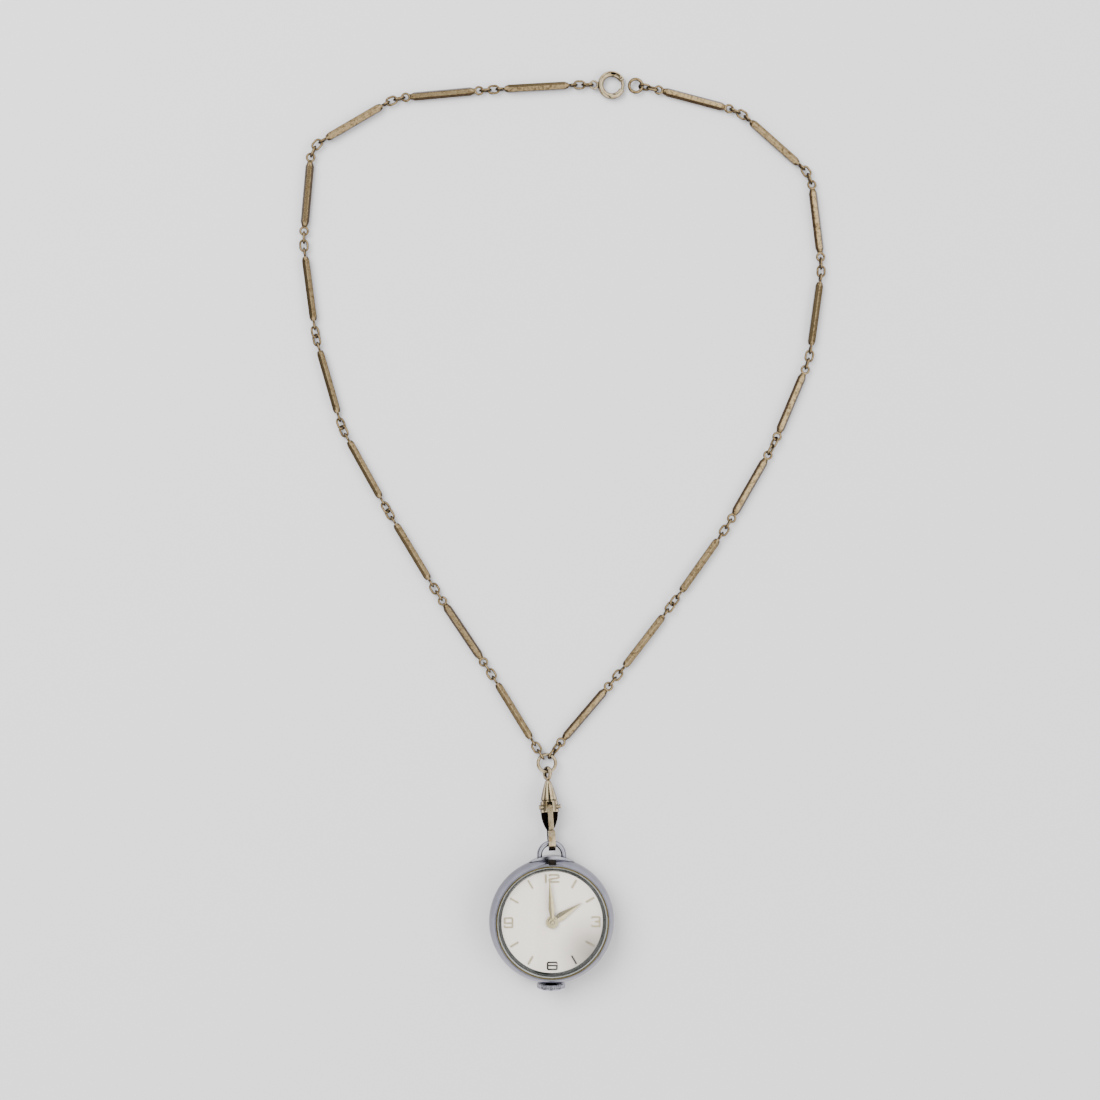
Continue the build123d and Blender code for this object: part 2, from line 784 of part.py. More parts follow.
def spiral(inner, outer, turns, strip, height):
    """A flat spring: a strip wound in half circles from its inner to its outer radius."""
    pitch = (outer - inner - strip) / turns

    def edges(start):
        made = []
        for half in range(2 * turns):
            side = 1 - 2 * (half % 2)
            here = start + pitch * half / 2
            middle = (-side * pitch / 4, side * (here + pitch / 4))
            made.append(ThreePointArc((side * here, 0), middle, (-side * (here + pitch / 2), 0)))
        return made

    end = inner + pitch * turns
    rims = edges(inner) + edges(inner + strip)
    ends = [Line((inner, 0), (inner + strip, 0)), Line((end, 0), (end + strip, 0))]
    return extrude(make_face(Wire(rims + ends)), height)


def barrel():
    """The toothed barrel, a cup for the mainspring that is open towards its bridge."""
    radius = mesh_module_barrel * barrel_teeth / 2
    drum = radius * (1 - 2 * tooth_depth_share)
    height = barrel_top - barrel_bottom
    body = disc(drum, 0, height)
    body += Pos(0, 0, height - barrel_tooth_height) * toothed(radius, barrel_teeth, barrel_tooth_height)
    body -= disc(drum - barrel_wall, 0, height - barrel_wall)
    body -= disc(barrel_arbor_radius + running_clearance, 0, height)
    return Pos(*barrel_at, barrel_bottom) * body


def mainspring():
    """The mainspring, let down in the barrel round the hub of its arbor."""
    drum = mesh_module_barrel * barrel_teeth / 2 * (1 - 2 * tooth_depth_share) - barrel_wall
    height = barrel_top - barrel_bottom - barrel_wall - 2 * running_clearance
    inner = barrel_hub_radius + seat_clearance
    spring = spiral(inner, drum - seat_clearance, mainspring_turns, mainspring_strip, height)
    return Pos(*barrel_at, barrel_bottom + running_clearance) * spring


def ratchet_wheel():
    """The ratchet wheel in one piece with the barrel arbor."""
    bottom = ratchet_level
    top = plate_bottom - running_clearance
    hub_bottom = barrel_bottom + running_clearance
    hub_top = barrel_top - barrel_wall - running_clearance
    body = Pos(0, 0, bottom) * toothed(ratchet_radius, ratchet_teeth, ratchet_thickness)
    body += disc(barrel_arbor_radius, bottom, top - bottom)
    body += disc(barrel_hub_radius, hub_bottom, hub_top - hub_bottom)
    body += disc(pivot_radius, top, pivot_depth)
    return Pos(*barrel_at, 0) * body


def crown_wheel():
    """The crown wheel on its core under the barrel bridge."""
    body = toothed(crown_wheel_radius, crown_wheel_teeth, ratchet_thickness)
    body -= extrude(Circle(crown_core_radius + running_clearance), ratchet_thickness)
    return Pos(*crown_wheel_at, ratchet_level) * body


def click_place():
    """Plan point of the click's stud, outside the ratchet wheel."""
    x, y = polar(ratchet_radius + mesh_clearance + click_radius + click_beak, click_angle)
    return (barrel_at[0] + x, barrel_at[1] + y)


def click():
    """The click, a round plate on its stud with a beak towards the ratchet teeth."""
    beak = outline((0, click_radius * 0.8), (click_radius + click_beak, 0), (0, -click_radius * 0.8))
    plan = Circle(click_radius) + Rot(0, 0, click_angle + 180) * beak
    plan -= Circle(click_stud_radius + running_clearance)
    return Pos(*click_place(), ratchet_level) * extrude(plan, ratchet_thickness)


def train_wheel(place, radius, teeth, level, leaves, module, pinion_bottom, pinion_top, spokes):
    """A spoked wheel and its pinion on one arbor."""
    body = arbor(bridge_top + running_clearance, plate_bottom - running_clearance)
    body += Pos(0, 0, level) * spoked(radius, teeth, wheel_thickness, spokes)
    body += Pos(0, 0, pinion_bottom) * toothed(module * leaves / 2, leaves, pinion_top - pinion_bottom)
    return Pos(*place, 0) * body


def centre_wheel():
    """The centre wheel, whose arbor runs up through the mainplate to carry the hands."""
    radius = mesh_module_centre * centre_teeth / 2
    body = train_wheel(
        (0, 0),
        radius,
        centre_teeth,
        centre_level,
        centre_pinion_leaves,
        mesh_module_barrel,
        barrel_bottom + running_clearance,
        barrel_top + running_clearance,
        5,
    )
    return body + disc(arbor_radius, plate_bottom - running_clearance, centre_pin_top - plate_bottom)


def third_wheel():
    """The third wheel, low in the train, with its pinion under the mainplate."""
    radius = mesh_module_third * third_teeth / 2
    top = plate_bottom - 2 * running_clearance
    return train_wheel(
        third_at, radius, third_teeth, low_level, third_pinion_leaves, mesh_module_centre, centre_level, top, 5
    )


def fourth_wheel():
    """The fourth wheel, which turns once a minute."""
    radius = mesh_module_fourth * fourth_teeth / 2
    top = low_level + wheel_thickness + running_clearance
    return train_wheel(
        fourth_at,
        radius,
        fourth_teeth,
        fourth_level,
        fourth_pinion_leaves,
        mesh_module_third,
        low_level,
        top,
        5,
    )


def escape_wheel():
    """The escape wheel with its fifteen raked teeth."""
    points = []
    root = escape_radius * 0.78
    for tooth in range(escape_teeth):
        points.append(polar(escape_radius, 360 * tooth / escape_teeth))
        points.append(polar(escape_radius, 360 * (tooth + 0.06) / escape_teeth))
        points.append(polar(root, 360 * (tooth + 0.2) / escape_teeth))
        points.append(polar(root, 360 * (tooth + 0.85) / escape_teeth))
    ring = extrude(make_face(Polyline(*points, close=True)) - Circle(root * 0.85), wheel_thickness)
    for arm in range(4):
        bar = Pos(root / 2, 0) * Rectangle(root, root * 0.16)
        ring += Rot(0, 0, 90 * arm) * extrude(bar, wheel_thickness)
    body = arbor(bridge_top + running_clearance, plate_bottom - running_clearance)
    body += Pos(0, 0, low_level) * ring
    pinion = toothed(mesh_module_fourth * escape_pinion_leaves / 2, escape_pinion_leaves, 2 * wheel_thickness)
    body += Pos(0, 0, fourth_level) * pinion
    return Pos(*escape_at, 0) * body


def pallet_fork():
    """The pallet fork: two pallet arms and a lever that ends short of the roller."""
    lever_length = math.dist(pallet_at, balance_at) - roller_radius - impulse_pin_radius - running_clearance
    arm_x = -escape_radius * 0.17
    arm_y = escape_radius * 0.5
    arms = trace(Polyline((arm_x, -arm_y), (0, 0), (arm_x, arm_y)), line_width=fork_width)
    lever = Pos(lever_length / 2, 0) * Rectangle(lever_length, fork_width)
    horns = Pos(lever_length - fork_width / 2, 0) * Rectangle(fork_width, 2.4 * fork_width)
    body = extrude(arms + lever + horns, wheel_thickness)
    body = Pos(0, 0, low_level) * body
    body += arbor(bridge_top + running_clearance, plate_bottom - running_clearance)
    return Pos(*pallet_at, 0) * Rot(0, 0, to_balance) * body


def balance_wheel():
    """The balance: rim, arms, staff, roller and impulse pin."""
    rim = Circle(balance_radius) - Circle(balance_radius - balance_rim)
    rim += Rectangle(2 * balance_radius - balance_rim, balance_rim)
    body = Pos(0, 0, balance_level) * extrude(rim, balance_height)
    body += arbor(bridge_top + running_clearance, plate_bottom - running_clearance)
    body += disc(roller_radius, balance_level - wheel_thickness, wheel_thickness)
    pin_place = 2 * impulse_pin_radius - roller_radius
    pin = disc(impulse_pin_radius, low_level, balance_level - low_level, pin_place, 0)
    return Pos(*balance_at, 0) * Rot(0, 0, to_balance) * (body + pin)


def hairspring():
    """The hairspring, a flat spiral between the balance and its cock."""
    inner = arbor_radius + seat_clearance
    spring = spiral(inner, hairspring_radius, hairspring_turns, hairspring_strip, hairspring_height)
    return Pos(*balance_at, bridge_top + 2 * running_clearance) * spring


def cannon_pinion():
    """The cannon pinion, whose pipe carries the minute hand over the centre arbor."""
    bottom = plate_top + running_clearance
    body = Pos(0, 0, bottom) * toothed(motion_module * cannon_leaves / 2, cannon_leaves, motion_thickness)
    top = minute_hand_level + hand_ridge
    body += disc(cannon_pipe_radius, bottom, top - bottom)
    return body - disc(arbor_radius + running_clearance, bottom, top - bottom)


def minute_wheel():
    """The minute wheel and its pinion on the mainplate post."""
    bottom = plate_top + 2 * running_clearance
    body = Pos(0, 0, bottom) * toothed(motion_module * minute_teeth / 2, minute_teeth, motion_thickness / 2)
    pinion = toothed(motion_module * minute_pinion_leaves / 2, minute_pinion_leaves, motion_height)
    body += Pos(0, 0, bottom) * pinion
    body -= disc(arbor_radius + running_clearance, bottom, motion_height)
    return Pos(*minute_wheel_at, 0) * body


def hour_wheel():
    """The hour wheel, whose pipe carries the hour hand through the dial."""
    bottom = plate_top + running_clearance + motion_thickness + running_clearance
    radius = motion_module * hour_teeth / 2 * hour_wheel_share
    body = Pos(0, 0, bottom) * toothed(radius, hour_teeth, motion_thickness / 2)
    top = hour_hand_level + hand_ridge
    body += disc(hour_pipe_radius, bottom, top - bottom)
    return body - disc(cannon_pipe_radius + running_clearance, bottom, top - bottom)


def clasp_frame():
    """Where the clasp stands: on the bow bar, along +Y, sloping down towards the chain."""
    return Pos(0, bow_bar_y, hook_axis_height) * Rot(0, 0, clasp_heading) * Rot(-clasp_slope, 0, 0)


def clasp_body():
    """The clasp body: cone, collar, spine and hook, slotted for the gate and bored for the swivel."""
    half = hook_outer_width / 2
    inner = half - hook_thickness
    low = half - hook_pass - hook_thickness
    lip = hook_thickness * 0.25
    side = outline(
        (collar_start + lip, -collar_radius * 0.86),
        (spine_taper_end, -half + lip * 0.2),
        (low, -half),
        ((low - half, 0), (low, half)),
        (hook_tip, half - lip),
        (hook_tip, inner - lip * 0.4),
        (low, inner),
        ((low - inner, 0), (low, -inner)),
        (spine_taper_end, -inner + lip * 0.2),
        (collar_start + lip, -collar_radius * 0.4),
    )
    edge = hook_width / 2
    wide = spine_width / 2
    taper = (spine_taper_end + collar_start) / 2
    front = outline(
        (edge, -half),
        (edge, spine_taper_end),
        ((edge + (wide - edge) * 0.75, taper), (wide, collar_start)),
        (wide, collar_end),
        (-wide, collar_end),
        (-wide, collar_start),
        ((-edge - (wide - edge) * 0.75, taper), (-edge, spine_taper_end)),
        (-edge, -half),
    )
    hook = extrude(Plane.YZ * side, spine_width, both=True) & extrude(front, hook_outer_width, both=True)
    turned_part = outline(
        (0, collar_start),
        (collar_radius * 0.94, collar_start),
        (collar_radius, collar_start + lip),
        (collar_radius * 0.93, collar_end),
        (collar_radius * 0.93 - seam_depth * 1.6, collar_end),
        (collar_radius * 0.93 - seam_depth * 1.6, collar_end + seam_width),
        (cone_base_radius, collar_end + seam_width),
        (
            ((cone_base_radius + cone_tip_radius) / 2 + seam_depth * 0.6, (collar_end + cone_end) / 2),
            (cone_tip_radius, cone_end),
        ),
        (0, cone_end),
    )
    body = revolve(turned_part, Axis.Y) + hook
    gate_slot = gate_width + 2 * running_clearance
    slot_top = collar_end - seam_depth
    slot_height = 2 * collar_radius - gate_slot_floor
    body -= Pos(0, (collar_start - lip + slot_top) / 2, gate_slot_floor + slot_height / 2) * Box(
        gate_slot, slot_top - collar_start + lip, slot_height
    )
    groove = outline(
        (-clasp_slot / 2, slot_top),
        (clasp_slot / 2, slot_top),
        (clasp_slot / 8, cone_end - cone_tip_radius),
        (-clasp_slot / 8, cone_end - cone_tip_radius),
    )
    body -= Pos(0, 0, cone_tip_radius) * extrude(groove, collar_radius)
    across = Rot(0, 90, 0) * extrude(Circle(gate_pin_radius), gate_pin_length, both=True)
    body -= Pos(0, gate_pin_place, gate_pin_height) * across
    neck = extrude(Circle(swivel_neck_radius + swivel_clearance), swivel_bore_depth)
    head = extrude(Circle(swivel_head_radius + swivel_clearance), swivel_head_length + 2 * swivel_clearance)
    body -= Pos(0, cone_end, 0) * Rot(90, 0, 0) * neck
    bore_mouth = cone_end - swivel_bore_depth + swivel_head_length + 2 * swivel_clearance
    body -= Pos(0, bore_mouth, 0) * Rot(90, 0, 0) * head
    return body


def clasp_gate():
    """The gate lever from its pin to the tip of the hook."""
    half = hook_outer_width / 2
    lip = hook_thickness * 0.25
    end = hook_tip + gate_tip_clearance
    bar = outline(
        (gate_pin_place, gate_pin_height + gate_eye_radius),
        (end, half - lip),
        (end, half - hook_thickness - lip * 0.4),
        (gate_pin_place - gate_eye_radius * 0.7, gate_pin_height - gate_eye_radius * 0.7),
    )
    plan = bar + Pos(gate_pin_place, gate_pin_height) * Circle(gate_eye_radius)
    plan -= Pos(gate_pin_place, gate_pin_height) * Circle(gate_pin_radius + running_clearance)
    return extrude(Plane.YZ * plan, gate_width / 2, both=True)


def clasp_gate_pin():
    """The pin that carries the gate, with a round knob at each end."""
    pin = extrude(Circle(gate_pin_radius), gate_pin_length / 2, both=True)
    for end in (-1, 1):
        knob = Cylinder(gate_pin_knob_radius, gate_knob_length)
        pin += Pos(0, 0, end * (gate_pin_length - gate_knob_length) / 2) * knob
    return Pos(0, gate_pin_place, gate_pin_height) * Rot(0, 90, 0) * pin


def clasp_swivel_eye():
    """The swivel eye with its riveted neck in the cone of the clasp."""
    ring = Rot(0, 90, 0) * Torus(swivel_eye_radius, swivel_eye_wire / 2)
    body = Pos(0, swivel_eye_place, 0) * ring
    neck_end = cone_end - swivel_bore_depth + swivel_clearance
    length = swivel_eye_place - swivel_eye_radius - neck_end
    body += Pos(0, neck_end + length, 0) * Rot(90, 0, 0) * extrude(Circle(swivel_neck_radius), length)
    head = extrude(Circle(swivel_head_radius), swivel_head_length)
    return body + Pos(0, neck_end + swivel_head_length, 0) * Rot(90, 0, 0) * head


def join_frame():
    """Where the join ring hangs in the swivel eye, tilted so that the chain leaves it level."""
    contact = (clasp_frame() * Pos(0, join_contact, 0)).position
    reach = join_radius * (1 + math.sin(math.radians(left_start_angle)))
    tilt = math.degrees(math.asin((contact.Z - chain_level) / reach))
    return Pos(*contact) * Rot(0, 0, clasp_heading) * Rot(-tilt, 0, 0) * Pos(0, join_radius, 0)


def oval_link():
    """One small oval link lying flat along X."""
    end = link_half + link_radius
    arc_right = ThreePointArc((link_half, -link_radius), (end, 0), (link_half, link_radius))
    arc_left = ThreePointArc((-link_half, link_radius), (-end, 0), (-link_half, -link_radius))
    top = Line((link_half, link_radius), (-link_half, link_radius))
    bottom = Line((-link_half, -link_radius), (link_half, -link_radius))
    section = Plane(origin=(0, -link_radius, 0), x_dir=(0, 1, 0), z_dir=(1, 0, 0)) * Circle(chain_wire / 2)
    return sweep(section, path=Wire([bottom, arc_right, top, arc_left]))


def chain_bar():
    """One faceted bar along X with a flat eye at each end."""
    half = bar_length / 2
    section = RegularPolygon(bar_across / 2, bar_sides, major_radius=False)
    facets = extrude(Plane.YZ * section, half, both=True)
    envelope = outline(
        (-half, 0),
        (-half, bar_end_radius),
        (-half + bar_taper, bar_across * 0.6),
        (half - bar_taper, bar_across * 0.6),
        (half, bar_end_radius),
        (half, 0),
    )
    body = facets & revolve(envelope, Axis.X)
    reach = half + eye_outer / 2
    neck = outline(
        (reach - eye_radius * 0.75, eye_radius * 0.66),
        (half - bar_taper / 2, bar_end_radius),
        (half - bar_taper / 2, -bar_end_radius),
        (reach - eye_radius * 0.75, -eye_radius * 0.66),
    )
    web = extrude(neck - Pos(reach, 0) * Circle(eye_radius), chain_wire / 2, both=True)
    for side in (0, 180):
        body += Rot(0, 0, side) * (Pos(reach, 0) * Torus(eye_radius, chain_wire / 2) + web)
    return body


class ChainEnd:
    """The free end of the chain while it is laid: where its last eye is and how it lies."""

    def __init__(self, centre, radius, wire, heading, roll):
        self.centre = centre
        self.radius = radius
        self.wire = wire
        self.heading = heading
        self.roll = roll

    def flat(self):
        """Whether the eye lies more flat than upright."""
        return abs(math.cos(math.radians(self.roll))) > math.sqrt(0.5)

    def contact(self, heading):
        """Middle of the wire that the next piece pulls on."""
        x, y = polar(self.radius, heading if self.flat() else self.heading)
        return (self.centre[0] + x, self.centre[1] + y)

    def pivot(self, heading):
        """The point about which the next piece turns."""
        return self.centre if self.flat() else self.contact(heading)


def laid(piece, x, y, heading, roll):
    """Lay a piece drawn along X at the level of the chain."""
    return Pos(x, y, chain_level) * Rot(0, 0, heading) * Rot(roll, 0, 0) * piece


def add_piece(end, shape, heading, roll, first, last, radius, play):
    """Hook a piece into the chain's end. First and last are its eyes' distances from its middle."""
    x, y = end.contact(heading)
    overlap = end.wire / 2 + play + chain_wire / 2
    middle_x, middle_y = polar(first - overlap, heading)
    centre = (x + middle_x, y + middle_y)
    solid = laid(shape, *centre, heading, roll)
    far_x, far_y = polar(last, heading)
    return solid, ChainEnd((centre[0] + far_x, centre[1] + far_y), radius, chain_wire, heading, roll)


def add_links(end, heading, roll, play, count=2):
    """Hook small links into the chain so that they turn and roll evenly into the next piece."""
    step = 90 if (roll - end.roll) % 180 else 60
    start, start_roll = end.heading, end.roll
    solids = []
    for number in range(1, count + 1):
        turn = start + (heading - start) * number / (count + 1)
        reach = link_half + link_radius
        roll_here = start_roll + step * number
        solid, end = add_piece(end, oval_link(), turn, roll_here, reach, link_half, link_radius, play)
        solids.append(solid)
        play = contact_play
    return solids, end


def add_bar(end, heading, roll, play):
    """Hook two links and a bar into the chain. Returns the solids, the new end and the pivot."""
    first_turn = end.heading + (heading - end.heading) / 3
    pivot = end.pivot(first_turn)
    solids, end = add_links(end, heading, roll, play)
    reach = bar_length / 2 + eye_outer / 2
    solid, end = add_piece(end, chain_bar(), heading, roll, reach + eye_radius, reach, eye_radius, contact_play)
    return solids + [solid], end, pivot


def chain_side(start_angle, headings, rolls):
    """One side of the chain: a list of groups of solids, their pivots and the free end."""
    place = join_frame() * Pos(*polar(join_radius, start_angle), 0)
    end = ChainEnd((place.position.X, place.position.Y), 0, join_ring_wire, start_angle, 0)
    groups, pivots, play = [], [], join_chain_play
    for heading, roll in zip(headings, rolls):
        solids, end, pivot = add_bar(end, heading, roll, play)
        groups.append(solids)
        pivots.append(pivot)
        play = contact_play
    return groups, pivots, end


def on_nape(shape, place, heading):
    """Lay a nape fitting, drawn with its eye towards -X, at a place on the chain."""
    return Pos(*place, chain_level) * Rot(0, 0, heading) * shape


def nape_place(end, heading, reach, wire):
    """Middle of a nape fitting whose eye, of a given wire, takes the chain's last link."""
    x, y = end.contact(heading)
    step_x, step_y = polar(reach - (end.wire + wire) / 2 - contact_play, heading)
    return (x + step_x, y + step_y)


def nape_spring_ring():
    """The spring ring: a tube bent round, open at its gate, slotted for the knob, with its eye."""
    tube = Pos(nape_radius, 0) * (Circle(nape_ring_wire / 2) - Circle(nape_bore_radius))
    ring = revolve(Plane.XZ * tube, Axis.Z, revolution_arc=360 - nape_gate_angle)
    ring = Rot(0, 0, nape_gate_angle / 2) * ring
    opening = 2 * (nape_knob_radius + running_clearance)
    window = Pos(nape_radius, nape_ring_wire / 2) * Rectangle(opening, nape_ring_wire)
    slot = revolve(Plane.XZ * window, Axis.Z, revolution_arc=nape_travel + nape_knob_angle)
    ring -= Rot(0, 0, nape_gate_angle / 2 + nape_knob_angle / 2) * slot
    eye = Pos(-nape_radius - nape_ring_wire / 2 - nape_eye_outer / 2 + chain_wire / 2, 0) * Torus(
        (nape_eye_outer - chain_wire) / 2, chain_wire / 2
    )
    return ring + eye


def nape_trigger():
    """The curved bolt of the spring ring with the knob that draws it back."""
    section = Pos(nape_radius, 0) * Circle(nape_trigger_radius)
    bolt = revolve(Plane.XZ * section, Axis.Z, revolution_arc=nape_bolt_angle)
    start = -nape_gate_angle / 2 + nape_knob_angle / 8
    bolt = Rot(0, 0, start) * bolt
    knob_angle = nape_gate_angle / 2 + nape_knob_angle
    x, y = polar(nape_radius, knob_angle)
    return bolt + disc(nape_knob_radius, 0, nape_ring_wire / 2 + nape_knob_height, x, y)


def tag_ring():
    """The plain ring at the other end, which the spring ring takes."""
    return Torus((tag_ring_outer - tag_ring_wire) / 2, tag_ring_wire / 2)


left_groups, left_pivots, left_end = chain_side(left_start_angle, left_headings, left_rolls)
right_groups, right_pivots, right_end = chain_side(right_start_angle, right_headings, right_rolls)
hidden_bar = left_groups.pop()
left_groups[-1] += hidden_bar
left_pivots.pop()
left_links, left_end = add_links(left_end, left_nape_heading, 180, contact_play)
right_links, right_end = add_links(right_end, right_nape_heading, 180, contact_play)
left_groups[-1] += left_links
right_groups[-1] += right_links
spring_ring_reach = nape_ring_outer / 2 + nape_eye_outer - chain_wire
spring_ring_at = nape_place(left_end, left_nape_heading, spring_ring_reach, chain_wire)
tag_ring_at = nape_place(right_end, right_nape_heading, (tag_ring_outer - tag_ring_wire) / 2, tag_ring_wire)
right_groups[-1].append(on_nape(tag_ring(), tag_ring_at, right_nape_heading))

pieces = {
    "case_middle": case_middle(),
    "case_back": case_back(),
    "bow": bow(),
    "crystal": crystal(),
    "crystal_ring": crystal_ring(),
    "dial": dial(),
    "dial_markers": dial_markers(),
    "hour_hand": hand(
        hour_hand_length,
        hour_hand_width,
        hour_hand_tail,
        hour_hand_angle,
        hour_hand_level,
        hour_hub_radius,
        hour_pipe_radius,
    ),
    "minute_hand": hand(
        minute_hand_length,
        minute_hand_width,
        minute_hand_tail,
        minute_hand_angle,
        minute_hand_level,
        minute_hub_radius,
        cannon_pipe_radius,
    ),
    "crown": crown(),
    "winding_stem": winding_stem(),
    "winding_pinion": stem_pinion(
        winding_pinion_radius, winding_pinion_length, winding_leaves, winding_pinion_inner, running_clearance
    ),
    "sliding_pinion": stem_pinion(
        sliding_pinion_radius, sliding_pinion_length, sliding_leaves, sliding_pinion_inner, 0
    ),
    "setting_lever": setting_lever(),
    "casing_ring": casing_ring(),
    "mainplate": mainplate(),
    "barrel_bridge": barrel_bridge(),
    "train_bridge": train_bridge(),
    "balance_cock": balance_cock(),
    "bridge_screws": bridge_screws(),
    "barrel": barrel(),
    "mainspring": mainspring(),
    "ratchet_wheel": ratchet_wheel(),
    "crown_wheel": crown_wheel(),
    "click": click(),
    "centre_wheel": centre_wheel(),
    "third_wheel": third_wheel(),
    "fourth_wheel": fourth_wheel(),
    "escape_wheel": escape_wheel(),
    "pallet_fork": pallet_fork(),
    "balance_wheel": balance_wheel(),
    "hairspring": hairspring(),
    "cannon_pinion": cannon_pinion(),
    "minute_wheel": minute_wheel(),
    "hour_wheel": hour_wheel(),
    "clasp_body": clasp_frame() * clasp_body(),
    "clasp_gate": clasp_frame() * clasp_gate(),
    "clasp_gate_pin": clasp_frame() * clasp_gate_pin(),
    "clasp_swivel_eye": clasp_frame() * Rot(0, swivel_turned, 0) * clasp_swivel_eye(),
    "join_ring": join_frame() * Torus(join_radius, join_ring_wire / 2),
    "nape_spring_ring": on_nape(nape_spring_ring(), spring_ring_at, left_nape_heading),
    "nape_trigger": on_nape(nape_trigger(), spring_ring_at, left_nape_heading),
}
for side, groups in (("left", left_groups), ("right", right_groups)):
    for number, group in enumerate(groups, start=1):
        pieces[f"chain_{side}_{number}"] = group

os.makedirs("parts", exist_ok=True)
for name, piece in pieces.items():
    solids = piece if isinstance(piece, list) else [piece]
    export_step(Compound([solid for item in solids for solid in item.solids()]), f"parts/{name}.step")
print("bow to hook bottom", round(bow_bar_y - hook_pass - hook_thickness, 2))
print("nape gap", round(math.dist(spring_ring_at, tag_ring_at), 2))
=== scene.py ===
# %% [markdown]
# # A pendant watch on a fancy bar chain
#
# This lesson dresses a finished CAD model of a small wind-up watch. The watch lies on its back,
# its swivel clasp holds the bow at twelve o'clock, and a chain of faceted bars runs round in a
# teardrop. The CAD already has every shape that moves or carries load, so the work here is what a
# jeweller would call finishing: plating, brushing, lacquer, wear and tarnish.
#
# The first cell loads the frame. Its objects stay where they are, and only get materials.

# %% Load the frame
import math

import bpy
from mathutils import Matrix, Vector


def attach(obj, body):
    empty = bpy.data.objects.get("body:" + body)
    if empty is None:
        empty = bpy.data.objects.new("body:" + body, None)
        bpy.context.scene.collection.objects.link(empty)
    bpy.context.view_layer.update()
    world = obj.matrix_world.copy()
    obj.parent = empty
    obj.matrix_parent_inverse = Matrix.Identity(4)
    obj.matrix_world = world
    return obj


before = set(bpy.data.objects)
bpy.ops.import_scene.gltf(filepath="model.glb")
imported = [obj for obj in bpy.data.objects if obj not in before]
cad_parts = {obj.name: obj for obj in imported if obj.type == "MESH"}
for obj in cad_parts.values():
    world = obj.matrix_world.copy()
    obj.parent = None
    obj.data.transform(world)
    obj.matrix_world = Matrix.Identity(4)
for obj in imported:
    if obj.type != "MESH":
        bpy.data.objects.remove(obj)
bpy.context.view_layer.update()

# %% [markdown]
# Blender computes in linear light, but hex colours are sRGB, as picked from a screen. One function
# turns one into the other. Patterns in this scene are sized in millimetres, because a scratch or a
# spot of tarnish has a real size, and a noise texture wants the number of repeats per metre.

# %% Colours and sizes


def srgb(code):
    """Turn a hex colour into the linear colour that Blender computes with."""
    parts = [int(code[i : i + 2], 16) / 255 for i in (0, 2, 4)]
    return (*(c / 12.92 if c <= 0.04045 else ((c + 0.055) / 1.055) ** 2.4 for c in parts), 1.0)


MM = 0.001


def per_metre(size_mm):
    """How many repeats of a pattern of this size fit into a metre."""
    return 1 / (size_mm * MM)


print("middle grey in linear light", round(srgb("808080")[0], 3))

# %% [markdown]
# Every material is a small tree of nodes. A single function adds a node: it sets the node's
# properties, and each input is either given a value or linked to another node's output. A Mix node
# has sockets for each kind of data, so its colours go by number: 0 is the factor, 6 and 7 are the
# two colours, and output 2 is the mixed one.

# %% One function that adds a node


def add(tree, kind, inputs=None, **settings):
    """Add a shader node, set its properties, and set or link its inputs by name or number."""
    node = tree.nodes.new(kind)
    for name, value in settings.items():
        setattr(node, name, value)
    for name, value in (inputs or {}).items():
        if isinstance(value, bpy.types.NodeSocket):
            tree.links.new(value, node.inputs[name])
        else:
            node.inputs[name].default_value = value
    return node


def new_material(name):
    """An empty material with an output node. Returns the material, its tree and the output."""
    material = bpy.data.materials.new(name)
    material.use_nodes = True
    tree = material.node_tree
    tree.nodes.clear()
    return material, tree, tree.nodes.new("ShaderNodeOutputMaterial")


# %% [markdown]
# ## Camera, floor and light
#
# The photograph looks straight at the pendant from about half a metre, a little from the left. The
# chain fills most of the frame, and the lens is worked out from the size of the field, so that one
# pixel of the photograph is 0.22 mm on the table.

# %% Camera
FIELD = 242 * MM
FIELD_MIDDLE = Vector((0, 80.7 * MM, 0))
CAMERA_DISTANCE = 480 * MM
CAMERA_FROM_LEFT = math.radians(4)
NEAREST, FARTHEST = 20 * MM, 20

camera_data = bpy.data.cameras.new("camera")
camera_data.lens = camera_data.sensor_width * CAMERA_DISTANCE / FIELD
camera_data.clip_start, camera_data.clip_end = NEAREST, FARTHEST
camera = bpy.data.objects.new("camera", camera_data)
bpy.context.scene.collection.objects.link(camera)
towards = Vector((-math.sin(CAMERA_FROM_LEFT), 0, math.cos(CAMERA_FROM_LEFT)))
camera.location = FIELD_MIDDLE + CAMERA_DISTANCE * towards
camera.rotation_euler = (0, -CAMERA_FROM_LEFT, 0)
bpy.context.scene.camera = camera
print("lens", round(camera_data.lens, 1), "mm")

# %% [markdown]
# The table is a plain, matt, very pale grey, without any gloss, so that it mirrors nothing in low
# views either. It could be a modelled backdrop with a bend, but a large flat sheet is enough here,
# because its colour is repeated in the world behind it. It lies a hair below the case, so that the
# two faces never coincide.

# %% Floor
PALE = "E4E2E5"
TABLE_HALF = 4.0
TABLE_DROP = 0.01 * MM

table, tree, output = new_material("matt_pale_table")
plain = add(
    tree,
    "ShaderNodeBsdfPrincipled",
    {"Base Color": srgb(PALE), "Roughness": 0.9, "Specular IOR Level": 0.0},
)
tree.links.new(plain.outputs[0], output.inputs[0])

mesh = bpy.data.meshes.new("table")
corners = [(side * TABLE_HALF, -TABLE_HALF) for side in (-1, 1)]
corners += [(side * TABLE_HALF, TABLE_HALF) for side in (1, -1)]
mesh.from_pydata([(x, y, -TABLE_DROP) for x, y in corners], [], [(0, 1, 2, 3)])
mesh.materials.append(table)
floor = bpy.data.objects.new("table", mesh)
bpy.context.scene.collection.objects.link(floor)
print("table", 2 * TABLE_HALF, "m wide")

